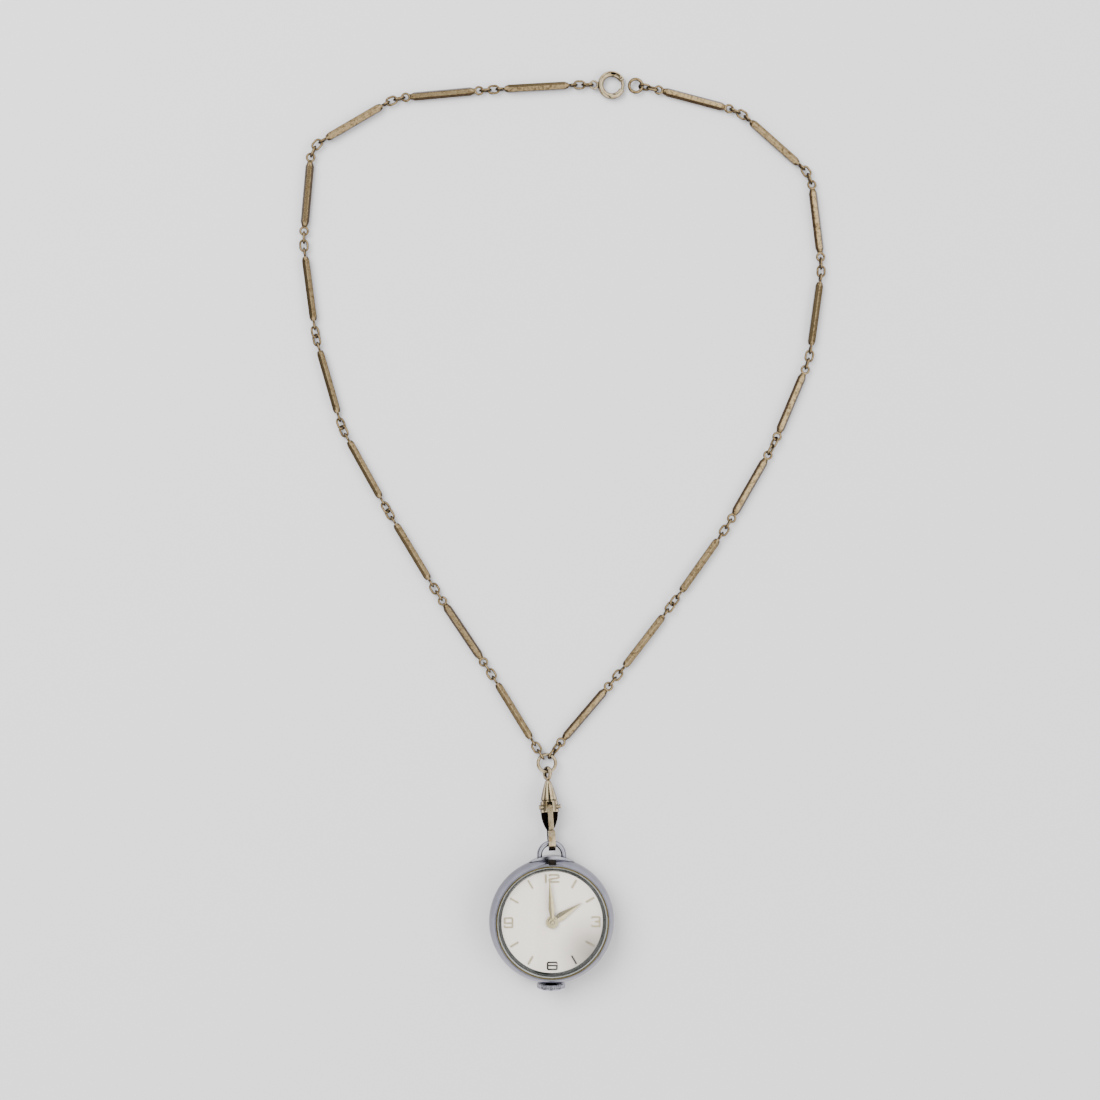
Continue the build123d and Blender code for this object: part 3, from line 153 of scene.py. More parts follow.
# %% [markdown]
# A jeweller's photographer works between white walls. Light comes from all round, so the shadows
# are faint. Polished metal mirrors the walls, and also the dark gap overhead, through which the
# camera looks down, and the dark room beyond the wall on the left. The gap draws a dark line along
# every polished cone and wire, and the room darkens every facet that faces left.
#
# The walls could be built as real sheets, but they would stand in the way of other views. So they
# are drawn in the world, as a row of stops from left to right: how far to the right a ray goes,
# from -1 to 1, and how bright the wall is there. Towards the table the walls get darker.

# %% The walls
WALLS = (
    (-1.0, 0.2),
    (-0.72, 0.24),
    (-0.58, 1.4),
    (-0.19, 1.4),
    (-0.11, 0.03),
    (-0.02, 0.03),
    (0.06, 1.0),
    (0.14, 1.5),
    (0.6, 1.5),
    (0.85, 0.8),
    (1.0, 0.3),
)
WALL_BLUE = 0.98
FOOT_OF_WALL = (0.55, 0.55, 0.57, 1)
FOOT_HEIGHT = 0.45

world = bpy.data.worlds.new("tent")
bpy.context.scene.world = world
world.use_nodes = True
world.cycles.sampling_method = "NONE"
tree = world.node_tree
tree.nodes.clear()
direction = add(tree, "ShaderNodeTexCoord").outputs["Generated"]
axes = add(tree, "ShaderNodeSeparateXYZ", {0: direction})
across = add(
    tree,
    "ShaderNodeMapRange",
    {"Value": axes.outputs["X"], "From Min": -1.0, "From Max": 1.0},
)
tent = add(tree, "ShaderNodeValToRGB", {"Fac": across.outputs[0]})
stops = tent.color_ramp.elements
for number, (place, level) in enumerate(WALLS):
    stop = stops[number] if number < 2 else stops.new(1.0)
    stop.position = (place + 1) / 2
    stop.color = (level, level, WALL_BLUE * level, 1)
rise = add(
    tree,
    "ShaderNodeMapRange",
    {"Value": axes.outputs["Z"], "From Min": 0.0, "From Max": FOOT_HEIGHT},
)
foot = add(
    tree,
    "ShaderNodeMix",
    {0: rise.outputs[0], 6: FOOT_OF_WALL, 7: (1, 1, 1, 1)},
    data_type="RGBA",
)
walls = add(
    tree,
    "ShaderNodeMix",
    {0: 1.0, 6: tent.outputs["Color"], 7: foot.outputs[2]},
    data_type="RGBA",
    blend_type="MULTIPLY",
)
print("wall stops", [(round(s.position, 2), round(s.color[0], 2)) for s in stops])

# %% [markdown]
# The world has three looks. Rays that light the object see a plain white room, camera rays see the
# pale background, and rays that a polished surface has mirrored see the walls, the gap and the
# dark room. The Light Path node tells them apart. A ray that was mirrored under the crystal comes
# out through it, so it no longer counts as a glossy ray, but its glossy depth still says so.

# %% The world's three looks
ROOM_LIGHT = (1.04, 1.03, 1.03, 1)

ray = add(tree, "ShaderNodeLightPath")
lit = add(
    tree,
    "ShaderNodeMix",
    {0: ray.outputs["Is Diffuse Ray"], 6: srgb(PALE), 7: ROOM_LIGHT},
    data_type="RGBA",
)
mirrored = add(
    tree,
    "ShaderNodeMath",
    {0: ray.outputs["Glossy Depth"], 1: 0.5},
    operation="GREATER_THAN",
)
sees_walls = add(
    tree,
    "ShaderNodeMath",
    {0: mirrored.outputs[0], 1: ray.outputs["Is Diffuse Ray"]},
    operation="SUBTRACT",
    use_clamp=True,
)
look = add(
    tree,
    "ShaderNodeMix",
    {0: sees_walls.outputs[0], 6: lit.outputs[2], 7: walls.outputs[2]},
    data_type="RGBA",
)
background = add(tree, "ShaderNodeBackground", {"Color": look.outputs[2], "Strength": 1.0})
output = tree.nodes.new("ShaderNodeOutputWorld")
tree.links.new(background.outputs[0], output.inputs[0])
print("world nodes", len(tree.nodes))

# %% [markdown]
# Two soft boxes light the table and the dial. The larger hangs to the upper left and gives the
# faint shadows to the lower right; the smaller fills from the right. Both face straight down, so
# that their light fades evenly over the table. They are behind the white walls, so the metal
# mirrors the walls and not the lamps. Places and sizes are in metres.

# %% Lamps


def soft_box(name, place, size, power):
    """Hang a square area lamp at a place, facing straight down."""
    light = bpy.data.lights.new(name, "AREA")
    light.size = size
    light.energy = power
    lamp = bpy.data.objects.new(name, light)
    lamp.location = place
    lamp.visible_glossy = lamp.visible_transmission = False
    bpy.context.scene.collection.objects.link(lamp)


soft_box("key", place=(-0.7, 0.6, 0.9), size=1.0, power=30.0)
soft_box("fill", place=(0.9, -0.2, 0.8), size=0.9, power=12.0)

# %% [markdown]
# ## Metals
#
# A plated part is never one flat colour. Five things show on all of them: edges that are slightly
# rounded and catch the light, fine scratches, dull spots, painted shade in the hollows, and painted
# shade on the flanks, while the top stays bright. All this could be painted by hand on an unwrapped
# texture. Masks that are computed from the shape need no unwrapping, and they also fit the back and
# the sides.
#
# The first mask is spots. A noise is cut off so that only its peaks stay.

# %% A mask of dull spots
SPOT_START, SPOT_FULL = 0.48, 0.66
SPOT_STRENGTH = 0.85


def spot_mask(tree, place, spot_mm):
    """Soft spots of about this size, scattered over the surface."""
    noise = add(
        tree,
        "ShaderNodeTexNoise",
        {"Vector": place, "Scale": per_metre(spot_mm), "Detail": 5.0, "Roughness": 0.65},
    )
    spots = add(
        tree,
        "ShaderNodeMapRange",
        {
            "Value": noise.outputs["Fac"],
            "From Min": SPOT_START,
            "From Max": SPOT_FULL,
            "To Max": SPOT_STRENGTH,
        },
    )
    return spots.outputs[0]


# %% [markdown]
# The second mask is painted shade on the flanks: the less a surface faces up, the darker it gets.
# The normal says which way a surface faces. It is turned into the piece's own axes, so that a
# shaded flank stays shaded when the piece moves.

# %% A mask of painted shade on flanks
PAINTED_SHADE_STRENGTH = 0.95


def upward(tree, normal):
    """How far the surface faces up along the piece's own upright axis, from -1 to 1."""
    own = add(
        tree,
        "ShaderNodeVectorTransform",
        {0: normal},
        vector_type="NORMAL",
        convert_from="WORLD",
        convert_to="OBJECT",
    )
    return add(tree, "ShaderNodeSeparateXYZ", {0: own.outputs[0]}).outputs["Z"]


def painted_flank_shade_mask(tree, up, flank_from, flank_to):
    """Painted shade: full where the surface faces up less than flank_from, and gone from flank_to
    on.
    """
    flank_shade = add(
        tree,
        "ShaderNodeMapRange",
        {
            "Value": up,
            "From Min": flank_from,
            "From Max": flank_to,
            "To Min": PAINTED_SHADE_STRENGTH,
            "To Max": 0.0,
        },
    )
    return flank_shade.outputs[0]


# %% [markdown]
# The third mask is painted shade in hollows. The Ambient Occlusion node measures how much open sky
# a point sees within a short reach: one in the open, and little in a corner.

# %% A mask of painted shade in hollows
CORNER_SKY, OPEN_SKY = 0.35, 0.9


def painted_hollow_shade_mask(tree, hollow_mm):
    """Painted shade: full in corners that are closer than this reach, and gone in the open."""
    sky = add(tree, "ShaderNodeAmbientOcclusion", {"Distance": hollow_mm * MM}, samples=6)
    hollow_shade = add(
        tree,
        "ShaderNodeMapRange",
        {
            "Value": sky.outputs["AO"],
            "From Min": CORNER_SKY,
            "From Max": OPEN_SKY,
            "To Min": PAINTED_SHADE_STRENGTH,
            "To Max": 0.0,
        },
    )
    return hollow_shade.outputs[0]


# %% [markdown]
# One function lays the three over each other like coats of paint, first the spots, then the
# flanks, then the hollows. The Bevel node rounds the edges in the shading alone, so that they catch
# the light. Dull spots are also rougher. Real scratches are finer than a pixel, so they are drawn
# 0.08 mm apart to show at all. A metal keeps the default IOR, because its colour says how it
# mirrors.

# %% A function for worn metal with painted shade
SCRATCH_SPACING = 0.08
SCRATCH_DEPTH = 0.02
SCRATCH_STRENGTH = 0.12


def worn_and_shaded_metal(
    name,
    colour,
    dull,
    hollow_shade,
    flank_shade,
    flank_from,
    flank_to,
    spot_mm,
    rough,
    edge_mm,
    hollow_mm,
    extra_shade=None,
):
    """Polished metal with dull spots, painted shade on flanks and in hollows, scratches and soft
    edges.

    A function given as the last argument adds a mask of more painted shade, as dark as the hollows.
    """
    material, tree, output = new_material(name)
    place = add(tree, "ShaderNodeTexCoord").outputs["Object"]
    rounded = add(tree, "ShaderNodeBevel", {"Radius": edge_mm * MM}, samples=4).outputs[0]
    up = upward(tree, rounded)
    spot = spot_mask(tree, place, spot_mm)
    side = painted_flank_shade_mask(tree, up, flank_from, flank_to)
    dark = painted_hollow_shade_mask(tree, hollow_mm)
    # An extra mask of painted shade joins the painted shade of the hollows.
    if extra_shade:
        shade_masks = {0: dark, 1: extra_shade(tree, place, up)}
        dark = add(tree, "ShaderNodeMath", shade_masks, operation="MAXIMUM").outputs[0]

    # The flank and hollow colours are painted shade laid over the metal's own colour.
    tone = srgb(colour)
    for mask, coat in ((spot, dull), (side, flank_shade), (dark, hollow_shade)):
        coats = {0: mask, 6: tone, 7: srgb(coat)}
        tone = add(tree, "ShaderNodeMix", coats, data_type="RGBA").outputs[2]

    gloss = add(
        tree,
        "ShaderNodeMapRange",
        {"Value": spot, "From Max": SPOT_STRENGTH, "To Min": rough, "To Max": 2 * rough},
    )
    scratches = add(
        tree,
        "ShaderNodeTexNoise",
        {"Vector": place, "Scale": per_metre(SCRATCH_SPACING), "Detail": 3.0},
    )
    bump = add(
        tree,
        "ShaderNodeBump",
        {
            "Height": scratches.outputs["Fac"],
            "Normal": rounded,
            "Strength": SCRATCH_STRENGTH,
            "Distance": SCRATCH_DEPTH * MM,
        },
    )
    shader = add(
        tree,
        "ShaderNodeBsdfPrincipled",
        {
            "Base Color": tone,
            "Metallic": 1.0,
            "Roughness": gloss.outputs[0],
            "Normal": bump.outputs[0],
        },
    )
    tree.links.new(shader.outputs[0], output.inputs[0])
    print(name)
    return material


# %% [markdown]
# The chain is rolled gold: a thin sheet of gold bonded to brass and drawn into wire. It has worn to
# a pinkish champagne on the broad facets. An olive brown tarnish sits in spots about 0.5 mm across.
# Painted shade, nearly black, darkens the flanks and the hollows round the eyes. Only what faces
# almost straight up stays bright, which draws the dark outlines of bars and links.

# %% Rolled gold of the chain
rolled_gold = worn_and_shaded_metal(
    "tarnished_and_shaded_rolled_gold",
    colour="DABE90",
    dull="5A421E",
    hollow_shade="140C06",
    flank_shade="241606",
    flank_from=0.68,
    flank_to=0.985,
    spot_mm=0.55,
    rough=0.18,
    edge_mm=0.34,
    hollow_mm=1.4,
)

# %% [markdown]
# The swivel clasp and the rings are of the same sheet, but thicker and better polished, because
# fingers handle them every day. Their flanks and hollows get painted shade, nearly black. The back
# of the hook, behind the gate, lies in shade and gets painted shade as dark as the hollows. It
# could be a piece of its own, but it is one casting with the collar, so a mask finds it: below the
# collar, deeper than the front of the gate, and facing up.

# %% Rolled gold of the clasp
COLLAR_FOOT = 23.4 * MM
BEHIND_GATE = 3.4 * MM


def painted_shade_behind_gate(tree, place, up):
    """Painted shade: one on the front of the hook's back, and zero everywhere else."""
    axes = add(tree, "ShaderNodeSeparateXYZ", {0: place}).outputs
    below = add(tree, "ShaderNodeMath", {0: axes["Y"], 1: COLLAR_FOOT}, operation="LESS_THAN")
    deep = add(tree, "ShaderNodeMath", {0: axes["Z"], 1: BEHIND_GATE}, operation="LESS_THAN")
    front = add(tree, "ShaderNodeMath", {0: up, 1: 0.0}, operation="GREATER_THAN")
    mask = below.outputs[0]
    for other in (deep, front):
        both = {0: mask, 1: other.outputs[0]}
        mask = add(tree, "ShaderNodeMath", both, operation="MULTIPLY").outputs[0]
    return mask


clasp_gold = worn_and_shaded_metal(
    "handled_rolled_gold",
    colour="EAD6B0",
    dull="B0966A",
    hollow_shade="100A06",
    flank_shade="1A1008",
    flank_from=0.34,
    flank_to=0.76,
    spot_mm=1.4,
    rough=0.11,
    edge_mm=0.14,
    hollow_mm=2.4,
    extra_shade=painted_shade_behind_gate,
)

# %% [markdown]
# The case, its back, the bow and the crown are brass with a bright chromium plate. Handling has
# made it a little cloudy, so its highlights are soft, and it looks faintly lilac beside the warm
# gold. Painted shade darkens its flanks towards the outer edge, and its hollows.

# %% Chromium plate
chromium = worn_and_shaded_metal(
    "chromium_plated_brass",
    colour="9C9CA8",
    dull="8E8E9A",
    hollow_shade="1C1C22",
    flank_shade="3C3C46",
    flank_from=0.02,
    flank_to=0.78,
    spot_mm=3.0,
    rough=0.1,
    edge_mm=0.1,
    hollow_mm=0.9,
)

# %% [markdown]
# The bow and the crown have the same plate. The wire of the bow is light along its top, and painted
# shade darkens its sides. In the crown painted shade darkens the grooves between the ribs, so the
# ribs stand out as light strokes.

# %% Chromium on the bow and the crown
bow_chromium = worn_and_shaded_metal(
    "side_shaded_chromium",
    colour="C2C2CE",
    dull="B0B0BE",
    hollow_shade="16161C",
    flank_shade="26262E",
    flank_from=0.3,
    flank_to=0.9,
    spot_mm=2.0,
    rough=0.12,
    edge_mm=0.08,
    hollow_mm=0.8,
)
crown_chromium = worn_and_shaded_metal(
    "grooved_chromium",
    colour="D0D0DA",
    dull="BCBCC8",
    hollow_shade="0E0E12",
    flank_shade="7A7A86",
    flank_from=-0.6,
    flank_to=0.3,
    spot_mm=2.0,
    rough=0.12,
    edge_mm=0.08,
    hollow_mm=0.45,
)

# %% [markdown]
# Hands and the ring round the crystal are gilt brass, stamped and then polished. The hands are
# behind the crystal, so they are clean and light. The ring has lost some of its gilding, and the
# brass below it has gone brown and rough.

# %% Gilt brass
# Both get painted shade on their flanks and in their hollows.
gilt = worn_and_shaded_metal(
    "polished_gilt_brass",
    colour="F8EABC",
    dull="E8D49C",
    hollow_shade="8A7040",
    flank_shade="5A4424",
    flank_from=0.2,
    flank_to=0.8,
    spot_mm=0.8,
    rough=0.1,
    edge_mm=0.04,
    hollow_mm=0.15,
)
ring_gilt = worn_and_shaded_metal(
    "aged_gilt_brass",
    colour="8C7E50",
    dull="665A36",
    hollow_shade="3A3014",
    flank_shade="4A3C1C",
    flank_from=0.1,
    flank_to=0.7,
    spot_mm=1.2,
    rough=0.25,
    edge_mm=0.05,
    hollow_mm=0.3,
)

# %% [markdown]
# Inside, steel parts are ground and polished, the hairspring is blued by heat, and wheels are gilt
# brass. Their painted shade is slight and reaches only faces that turn downwards, so their flanks
# are nearly as light as their tops.

# %% Steel and wheel brass
inside = {"flank_from": -0.6, "flank_to": 0.0, "spot_mm": 0.8, "edge_mm": 0.03, "hollow_mm": 0.3}
steel = worn_and_shaded_metal(
    "ground_carbon_steel", "A9ABB0", "8E9096", "3A3A3E", "808288", rough=0.2, **inside
)
spring_steel = worn_and_shaded_metal(
    "blued_spring_steel", "3C4C86", "2A3566", "141824", "2A3566", rough=0.22, **inside
)
wheel_brass = worn_and_shaded_metal(
    "gilt_wheel_brass", "CDB070", "B4924E", "5A4420", "A88C50", rough=0.24, **inside
)

# %% [markdown]
# Nickel plated bridges carry broad parallel stripes, cut with a turning peg in overlapping passes
# about 1.3 mm wide. Each pass leaves fine grains, so neighbouring stripes mirror differently. A
# wave texture gives the stripes. Its diagonal bands count ten radians for each unit of x + y, and a
# level face has one unit of x + y in 1 / sqrt(2) units of length. A very fine noise is the grain.

# %% Striped nickel
STRIPE_WIDTH = 1.3
STRIPE_UNITS = math.tau / (10 * math.sqrt(2))
STRIPE_RISE = 4.0
PEG_GRAIN = 0.05

nickel, tree, output = new_material("striped_nickel_plate")
place = add(tree, "ShaderNodeTexCoord").outputs["Object"]
stripes = add(
    tree,
    "ShaderNodeTexWave",
    {"Vector": place, "Scale": STRIPE_UNITS * per_metre(STRIPE_WIDTH)},
    bands_direction="DIAGONAL",
    wave_profile="SAW",
)
grain = add(
    tree,
    "ShaderNodeTexNoise",
    {"Vector": place, "Scale": per_metre(PEG_GRAIN), "Detail": 2.0},
)
shade = add(
    tree,
    "ShaderNodeMix",
    {0: stripes.outputs["Fac"], 6: srgb("BDBCB6"), 7: srgb("9C9B96")},
    data_type="RGBA",
)
pile = add(
    tree,
    "ShaderNodeMath",
    {0: stripes.outputs["Fac"], 1: STRIPE_RISE, 2: grain.outputs["Fac"]},
    operation="MULTIPLY_ADD",
)
bump = add(
    tree,
    "ShaderNodeBump",
    {"Height": pile.outputs[0], "Strength": 0.3, "Distance": 0.01 * MM},
)
shader = add(
    tree,
    "ShaderNodeBsdfPrincipled",
    {
        "Base Color": shade.outputs[2],
        "Metallic": 1.0,
        "Roughness": 0.28,
        "Normal": bump.outputs[0],
    },
)
tree.links.new(shader.outputs[0], output.inputs[0])
print(nickel.name)

# %% [markdown]
# ## The dial
#
# The dial gets a faint darker patch of painted shade at the lower right, with soft edges. A mask
# for it measures the distance from the middle of the patch, level with the dial, and fades out.

# %% A soft patch of painted shade on the dial
LEVEL = (1.0, 1.0, 0.0)
SHADE_PATCH_STRENGTH = 0.8


def painted_shade_patch(tree, place, middle, reach):
    """A soft round mask of painted shade on the dial, strongest in its middle and gone at its
    reach.
    """
    level = add(tree, "ShaderNodeVectorMath", {0: place, 1: LEVEL}, operation="MULTIPLY")
    away = add(
        tree,
        "ShaderNodeVectorMath",
        {0: level.outputs[0], 1: middle},
        operation="DISTANCE",
    )
    mask = add(
        tree,
        "ShaderNodeMapRange",
        {
            "Value": away.outputs["Value"],
            "From Min": 0.0,
            "From Max": reach,
            "To Min": SHADE_PATCH_STRENGTH,
            "To Max": 0.0,
        },
        interpolation_type="SMOOTHSTEP",
    )
    return mask.outputs[0]


# %% [markdown]
# The dial is silvered brass, brushed from the middle outwards and lacquered. Brushing turns round
# highlights into rays, so the light gathers in soft wedges. The brush lines could be an image. Here
# a noise is looked up by the direction from the middle alone, so it stays the same all along a
# radius. Anisotropy spreads the reflection across the brush lines. The clear lacquer is a coat.

# %% Silvered dial
SHADE_PATCH_PLACE = (8.4 * MM, -6.6 * MM, 0.0)
SHADE_PATCH_REACH = 10.0 * MM
BRUSH_LINES = 60.0

silvered, tree, output = new_material("silvered_sunray_brass")
place = add(tree, "ShaderNodeTexCoord").outputs["Object"]
level = add(tree, "ShaderNodeVectorMath", {0: place, 1: LEVEL}, operation="MULTIPLY")
outwards = add(tree, "ShaderNodeVectorMath", {0: level.outputs[0]}, operation="NORMALIZE")
brush = add(
    tree,
    "ShaderNodeTexNoise",
    {"Vector": outwards.outputs[0], "Scale": BRUSH_LINES, "Detail": 6.0, "Roughness": 0.7},
)
tint = add(
    tree,
    "ShaderNodeMix",
    {0: brush.outputs["Fac"], 6: srgb("FFF4E4"), 7: srgb("FFFAF0")},
    data_type="RGBA",
)
# The silvering turns darker towards the patch of painted shade at the lower right.
shaded_dial = add(
    tree,
    "ShaderNodeMix",
    {
        0: painted_shade_patch(tree, place, SHADE_PATCH_PLACE, SHADE_PATCH_REACH),
        6: tint.outputs[2],
        7: srgb("776B60"),
    },
    data_type="RGBA",
)
lines = add(
    tree,
    "ShaderNodeBump",
    {"Height": brush.outputs["Fac"], "Strength": 0.15, "Distance": 0.02 * MM},
)
radial = add(tree, "ShaderNodeTangent", direction_type="RADIAL", axis="Z")
shader = add(
    tree,
    "ShaderNodeBsdfPrincipled",
    {
        "Base Color": shaded_dial.outputs[2],
        "Metallic": 0.15,
        "Roughness": 0.4,
        "Anisotropic": 0.7,
        "Coat Weight": 0.5,
        "Coat Roughness": 0.1,
        "Tangent": radial.outputs[0],
        "Normal": lines.outputs[0],
    },
)
tree.links.new(shader.outputs[0], output.inputs[0])
print(silvered.name)

# %% [markdown]
# The applied markers are gilt too, with a soft satin top. In the photograph the ones at four, five
# and six look dark, because they mirror something dark beside the camera. A second patch between
# five and six darkens them, so that they look so from every side.

# %% Gilt markers
DARK_PLACE = (3.6 * MM, -8.8 * MM, 0.0)
DARK_REACH = 8.0 * MM
FULLY_DARK = 0.25
SATIN_GRAIN = 0.1
MARKER_EDGE = 0.06

marker_gilt, tree, output = new_material("satin_gilt_markers")
place = add(tree, "ShaderNodeTexCoord").outputs["Object"]
grain = add(
    tree,
    "ShaderNodeTexNoise",
    {"Vector": place, "Scale": per_metre(SATIN_GRAIN), "Detail": 3.0},
)
pale = add(
    tree,
    "ShaderNodeMix",
    {0: grain.outputs["Fac"], 6: srgb("D0C090"), 7: srgb("E2D6B0")},
    data_type="RGBA",
)
near = add(
    tree,
    "ShaderNodeMapRange",
    {"Value": painted_shade_patch(tree, place, DARK_PLACE, DARK_REACH), "From Max": FULLY_DARK},
)
mark = add(
    tree,
    "ShaderNodeMix",
    {0: near.outputs[0], 6: pale.outputs[2], 7: srgb("1E1812")},
    data_type="RGBA",
)
rounded = add(tree, "ShaderNodeBevel", {"Radius": MARKER_EDGE * MM}, samples=4)
satin = add(
    tree,
    "ShaderNodeBump",
    {
        "Height": grain.outputs["Fac"],
        "Normal": rounded.outputs[0],
        "Strength": 0.2,
        "Distance": 0.01 * MM,
    },
)
shader = add(
    tree,
    "ShaderNodeBsdfPrincipled",
    {
        "Base Color": mark.outputs[2],
        "Metallic": 0.8,
        "Roughness": 0.35,
        "Normal": satin.outputs[0],
    },
)
tree.links.new(shader.outputs[0], output.inputs[0])
print(marker_gilt.name)

# %% [markdown]
# ## The crystal
#
# The crystal is turned from clear acrylic, which bends light a little less than window glass, and a
# faint haze of wear softens its reflections in places. Real acrylic lets nearly all light through
# to the dial. A path tracer would lose much of it, so rays that carry light to the dial see a
# Transparent shader instead of the acrylic.

# %% Acrylic crystal
HAZE_SIZE = 2.5
HAZE_START, HAZE_FULL = 0.4, 0.8
HAZE_ROUGHNESS = 0.04

acrylic, tree, output = new_material("turned_clear_acrylic")
place = add(tree, "ShaderNodeTexCoord").outputs["Object"]
haze = add(
    tree,
    "ShaderNodeTexNoise",
    {"Vector": place, "Scale": per_metre(HAZE_SIZE), "Detail": 4.0},
)
worn = add(
    tree,
    "ShaderNodeMapRange",
    {
        "Value": haze.outputs["Fac"],
        "From Min": HAZE_START,
        "From Max": HAZE_FULL,
        "To Min": 0.0,
        "To Max": HAZE_ROUGHNESS,
    },
)
clear = add(
    tree,
    "ShaderNodeBsdfPrincipled",
    {
        "Base Color": srgb("FFFFFF"),
        "Roughness": worn.outputs[0],
        "IOR": 1.49,
        "Transmission Weight": 1.0,
    },
)
through = add(tree, "ShaderNodeBsdfTransparent", {"Color": srgb("FFFFFF")})
ray = add(tree, "ShaderNodeLightPath")
carries_light = add(
    tree,
    "ShaderNodeMath",
    {0: ray.outputs["Is Shadow Ray"], 1: ray.outputs["Is Diffuse Ray"]},
    operation="MAXIMUM",
)
either = add(
    tree,
    "ShaderNodeMixShader",
    {0: carries_light.outputs[0], 1: clear.outputs[0], 2: through.outputs[0]},
)
tree.links.new(either.outputs[0], output.inputs[0])
print(acrylic.name)

# %% [markdown]
# ## Which node gets which finish
#
# The names of the CAD nodes say what each piece is. A table gives each finish its nodes. Every node
# that it doesn't name belongs to the chain.

# %% Assign the finishes
FINISHES = (
    (chromium, "case_middle case_back"),
    (bow_chromium, "bow"),
    (crown_chromium, "crown"),
    (ring_gilt, "crystal_ring"),
    (gilt, "hour_hand minute_hand cannon_pinion"),
    (marker_gilt, "dial_markers"),
    (clasp_gold, "clasp_body clasp_gate clasp_gate_pin clasp_swivel_eye join_ring"),
    (clasp_gold, "nape_spring_ring nape_trigger"),
    (silvered, "dial"),
    (acrylic, "crystal"),
    (nickel, "mainplate barrel_bridge train_bridge balance_cock casing_ring"),
    (wheel_brass, "barrel centre_wheel third_wheel fourth_wheel balance_wheel"),
    (wheel_brass, "minute_wheel hour_wheel"),
    (steel, "winding_stem winding_pinion sliding_pinion setting_lever bridge_screws"),
    (steel, "mainspring ratchet_wheel crown_wheel click escape_wheel pallet_fork"),
    (spring_steel, "hairspring"),
)
finish_of = {node: finish for finish, nodes in FINISHES for node in nodes.split()}
for name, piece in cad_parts.items():
    piece.data.materials.clear()
    piece.data.materials.append(finish_of.get(name, rolled_gold))
print("chain nodes", len(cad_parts) - len(finish_of))

# %% [markdown]
# ## Small pieces that the CAD leaves out
#
# Some trim is too small for the CAD. Most of it is turned on a lathe in real life, so one function
# turns an outline of radius and height round the upright axis. A Screw modifier could do the same,
# but a plain mesh needs no further step.

# %% A function that turns an outline


def turned(name, outline, finish, body, steps=96):
    """Turn an outline of radius and height in millimetres round the upright axis into a piece."""
    points, faces = [], []
    count = len(outline)
    for step in range(steps):
        angle = math.tau * step / steps
        for radius, rise in outline:
            x = radius * math.cos(angle)
            y = radius * math.sin(angle)
            points.append((x * MM, y * MM, rise * MM))
    for step in range(steps):
        here, there = step * count, (step + 1) % steps * count
        for i in range(count):
            j = (i + 1) % count
            faces.append((here + i, there + i, there + j, here + j))
    mesh = bpy.data.meshes.new(name)
    mesh.from_pydata(points, [], faces)
    mesh.validate()
    mesh.materials.append(finish)
    mesh.shade_smooth()
    piece = bpy.data.objects.new(name, mesh)
    bpy.context.scene.collection.objects.link(piece)
    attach(piece, body)
    print(name, len(mesh.polygons), "faces")


# %% [markdown]
# A blackened ring slopes from the seat of the crystal down to the dial. It hides the dial's edge
# and is the dark line round it. It is stamped from thin brass and oxidised, which leaves a matt,
# greenish black.

# %% The dark ring round the dial
# Its flanks and hollows get painted shade as well.
oxidised = worn_and_shaded_metal(
    "black_oxidised_brass",
    colour="4A524E",
    dull="3C4442",
    hollow_shade="1A1C1C",
    flank_shade="343A38",
    flank_from=0.2,
    flank_to=0.9,
    spot_mm=0.8,
    rough=0.5,
    edge_mm=0.02,
    hollow_mm=0.2,
)
RING = (
    (10.9, 6.53),
    (11.27, 6.55),
    (11.5, 7.31),
    (11.58, 7.31),
    (11.58, 7.33),
    (11.46, 7.34),
    (11.2, 6.7),
    (10.9, 6.58),
)
turned("dial_ring", RING, oxidised, "watch_case")

# %% [markdown]
# Two of the small pieces have a plain, fine grain in two tones, which also stands up a little. One
# function makes both finishes from the size and the height of their grains.

# %% A function for grained finishes


def grained(name, dark, light, grain_mm, detail, strength, height_mm, **surface):
    """A material with grains of this size in two tones, and its other settings as given."""
    material, tree, output = new_material(name)
    place = add(tree, "ShaderNodeTexCoord").outputs["Object"]
    grain = add(
        tree,
        "ShaderNodeTexNoise",
        {"Vector": place, "Scale": per_metre(grain_mm), "Detail": detail},
    ).outputs["Fac"]
    tones = {0: grain, 6: srgb(dark), 7: srgb(light)}
    tone = add(tree, "ShaderNodeMix", tones, data_type="RGBA")
    relief = {"Height": grain, "Strength": strength, "Distance": height_mm * MM}
    bump = add(tree, "ShaderNodeBump", relief)
    surface |= {"Base Color": tone.outputs[2], "Normal": bump.outputs[0]}
    shader = add(tree, "ShaderNodeBsdfPrincipled", surface)
    tree.links.new(shader.outputs[0], output.inputs[0])
    print(name)
    return material


# %% [markdown]
# Between the dark ring and the gilt one runs a thin light line. It is a bright washer, on which the
# foot of the crystal stands. It is punched from nickel silver and rolled smooth, so it is an even,
# pale grey.

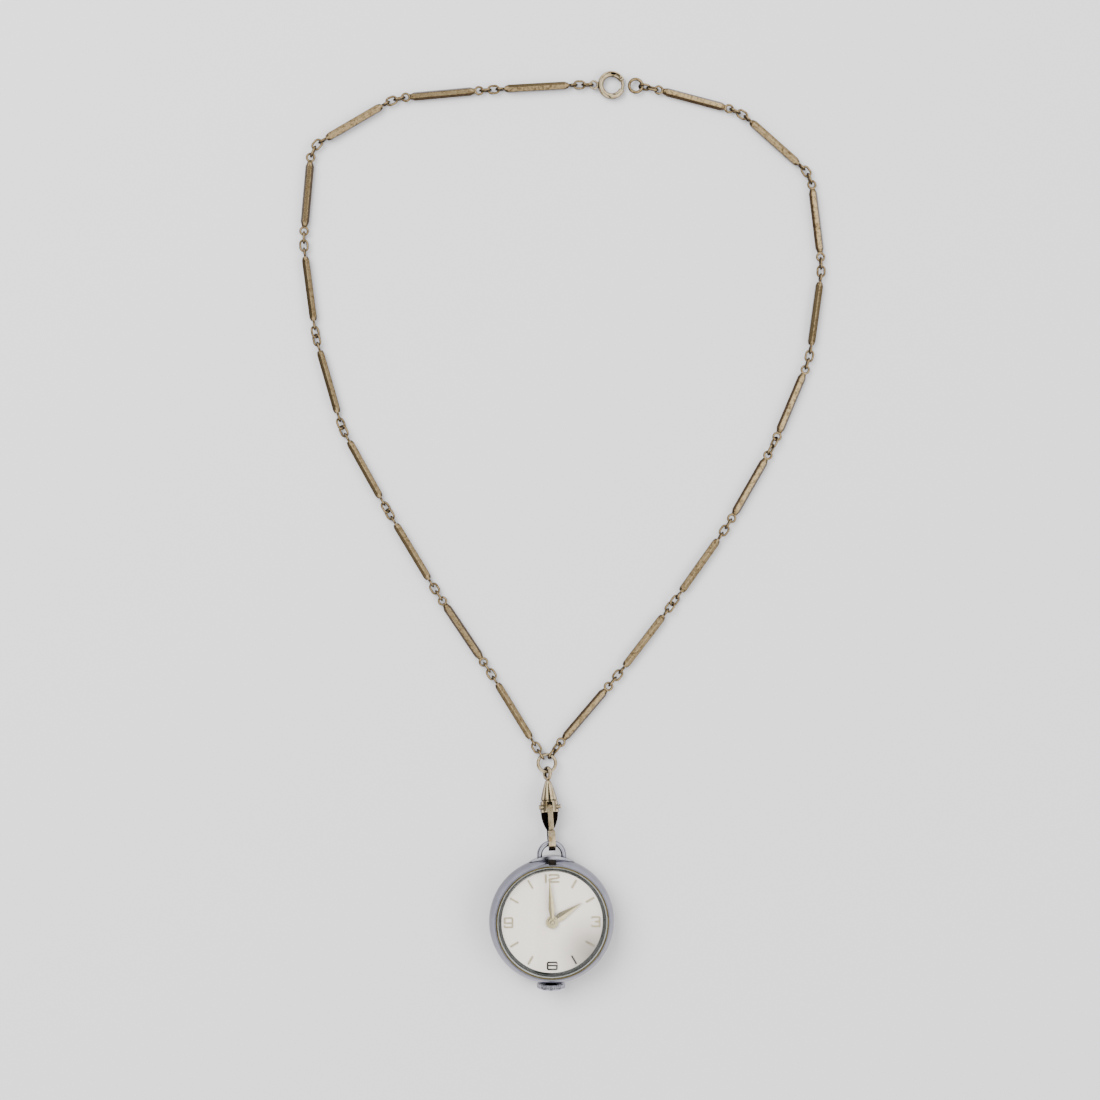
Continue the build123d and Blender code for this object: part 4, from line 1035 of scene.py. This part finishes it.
# %% The bright washer under the crystal
washer_metal = grained(
    "rolled_nickel_silver",
    dark="B4BAB8",
    light="D4D8D4",
    grain_mm=0.3,
    detail=3.0,
    strength=0.2,
    height_mm=0.01,
    Metallic=0.7,
    Roughness=0.35,
)
WASHER = (
    (11.62, 7.31),
    (11.92, 7.31),
    (11.92, 7.35),
    (11.9, 7.37),
    (11.64, 7.37),
    (11.62, 7.35),
)
turned("crystal_washer", WASHER, washer_metal, "watch_case")

# %% [markdown]
# The opening notch at twelve lies in deep shade and looks almost black. The metal alone could be
# darkened there, but polished walls would still shine. So a thin dark sheet of painted shade lines
# its floor and three walls. It is a folded sheet, and its sides are cut to the bulge of the case,
# which is given as distances from the middle and heights.

# %% The painted shade in the opening notch
NOTCH_HALF = 0.78
NOTCH_FLOOR = 6.12
NOTCH_WALL = 12.47
BULGE = ((13.44, 6.12), (13.27, 6.7), (13.04, 7.3), (12.72, 7.9), (12.47, 8.02))

# The sheet's finish is near-black painted shade with a fine grain.
notch_shade = grained(
    "painted_notch_shade",
    dark="16120E",
    light="2E2822",
    grain_mm=0.2,
    detail=4.0,
    strength=0.5,
    height_mm=0.05,
    Roughness=0.9,
)

profile = ((NOTCH_WALL, NOTCH_FLOOR), *BULGE)
points = [(side * NOTCH_HALF * MM, y * MM, z * MM) for side in (-1, 1) for y, z in profile]
count = len(profile)
left, right = list(range(count)), list(range(count, 2 * count))
faces = [left, right[::-1], [0, 1, count + 1, count], [0, count, 2 * count - 1, count - 1]]
mesh = bpy.data.meshes.new("notch_shade_sheet")
mesh.from_pydata(points, [], faces)
mesh.materials.append(notch_shade)
notch_shade_sheet = bpy.data.objects.new("notch_shade_sheet", mesh)
bpy.context.scene.collection.objects.link(notch_shade_sheet)
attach(notch_shade_sheet, "watch_case")
print("notch lined over", round(2 * NOTCH_HALF, 2), "mm")

# %% [markdown]
# The hands are pushed on to the cannon pinion, and a polished gilt cap closes the hole of the
# minute hand. It turns with that hand.

# %% The cap over the hands
CAP = ((0.001, 7.55), (0.42, 7.55), (0.46, 7.6), (0.4, 7.72), (0.25, 7.81), (0.001, 7.85))
turned("centre_cap", CAP, gilt, "minute_hand", steps=48)
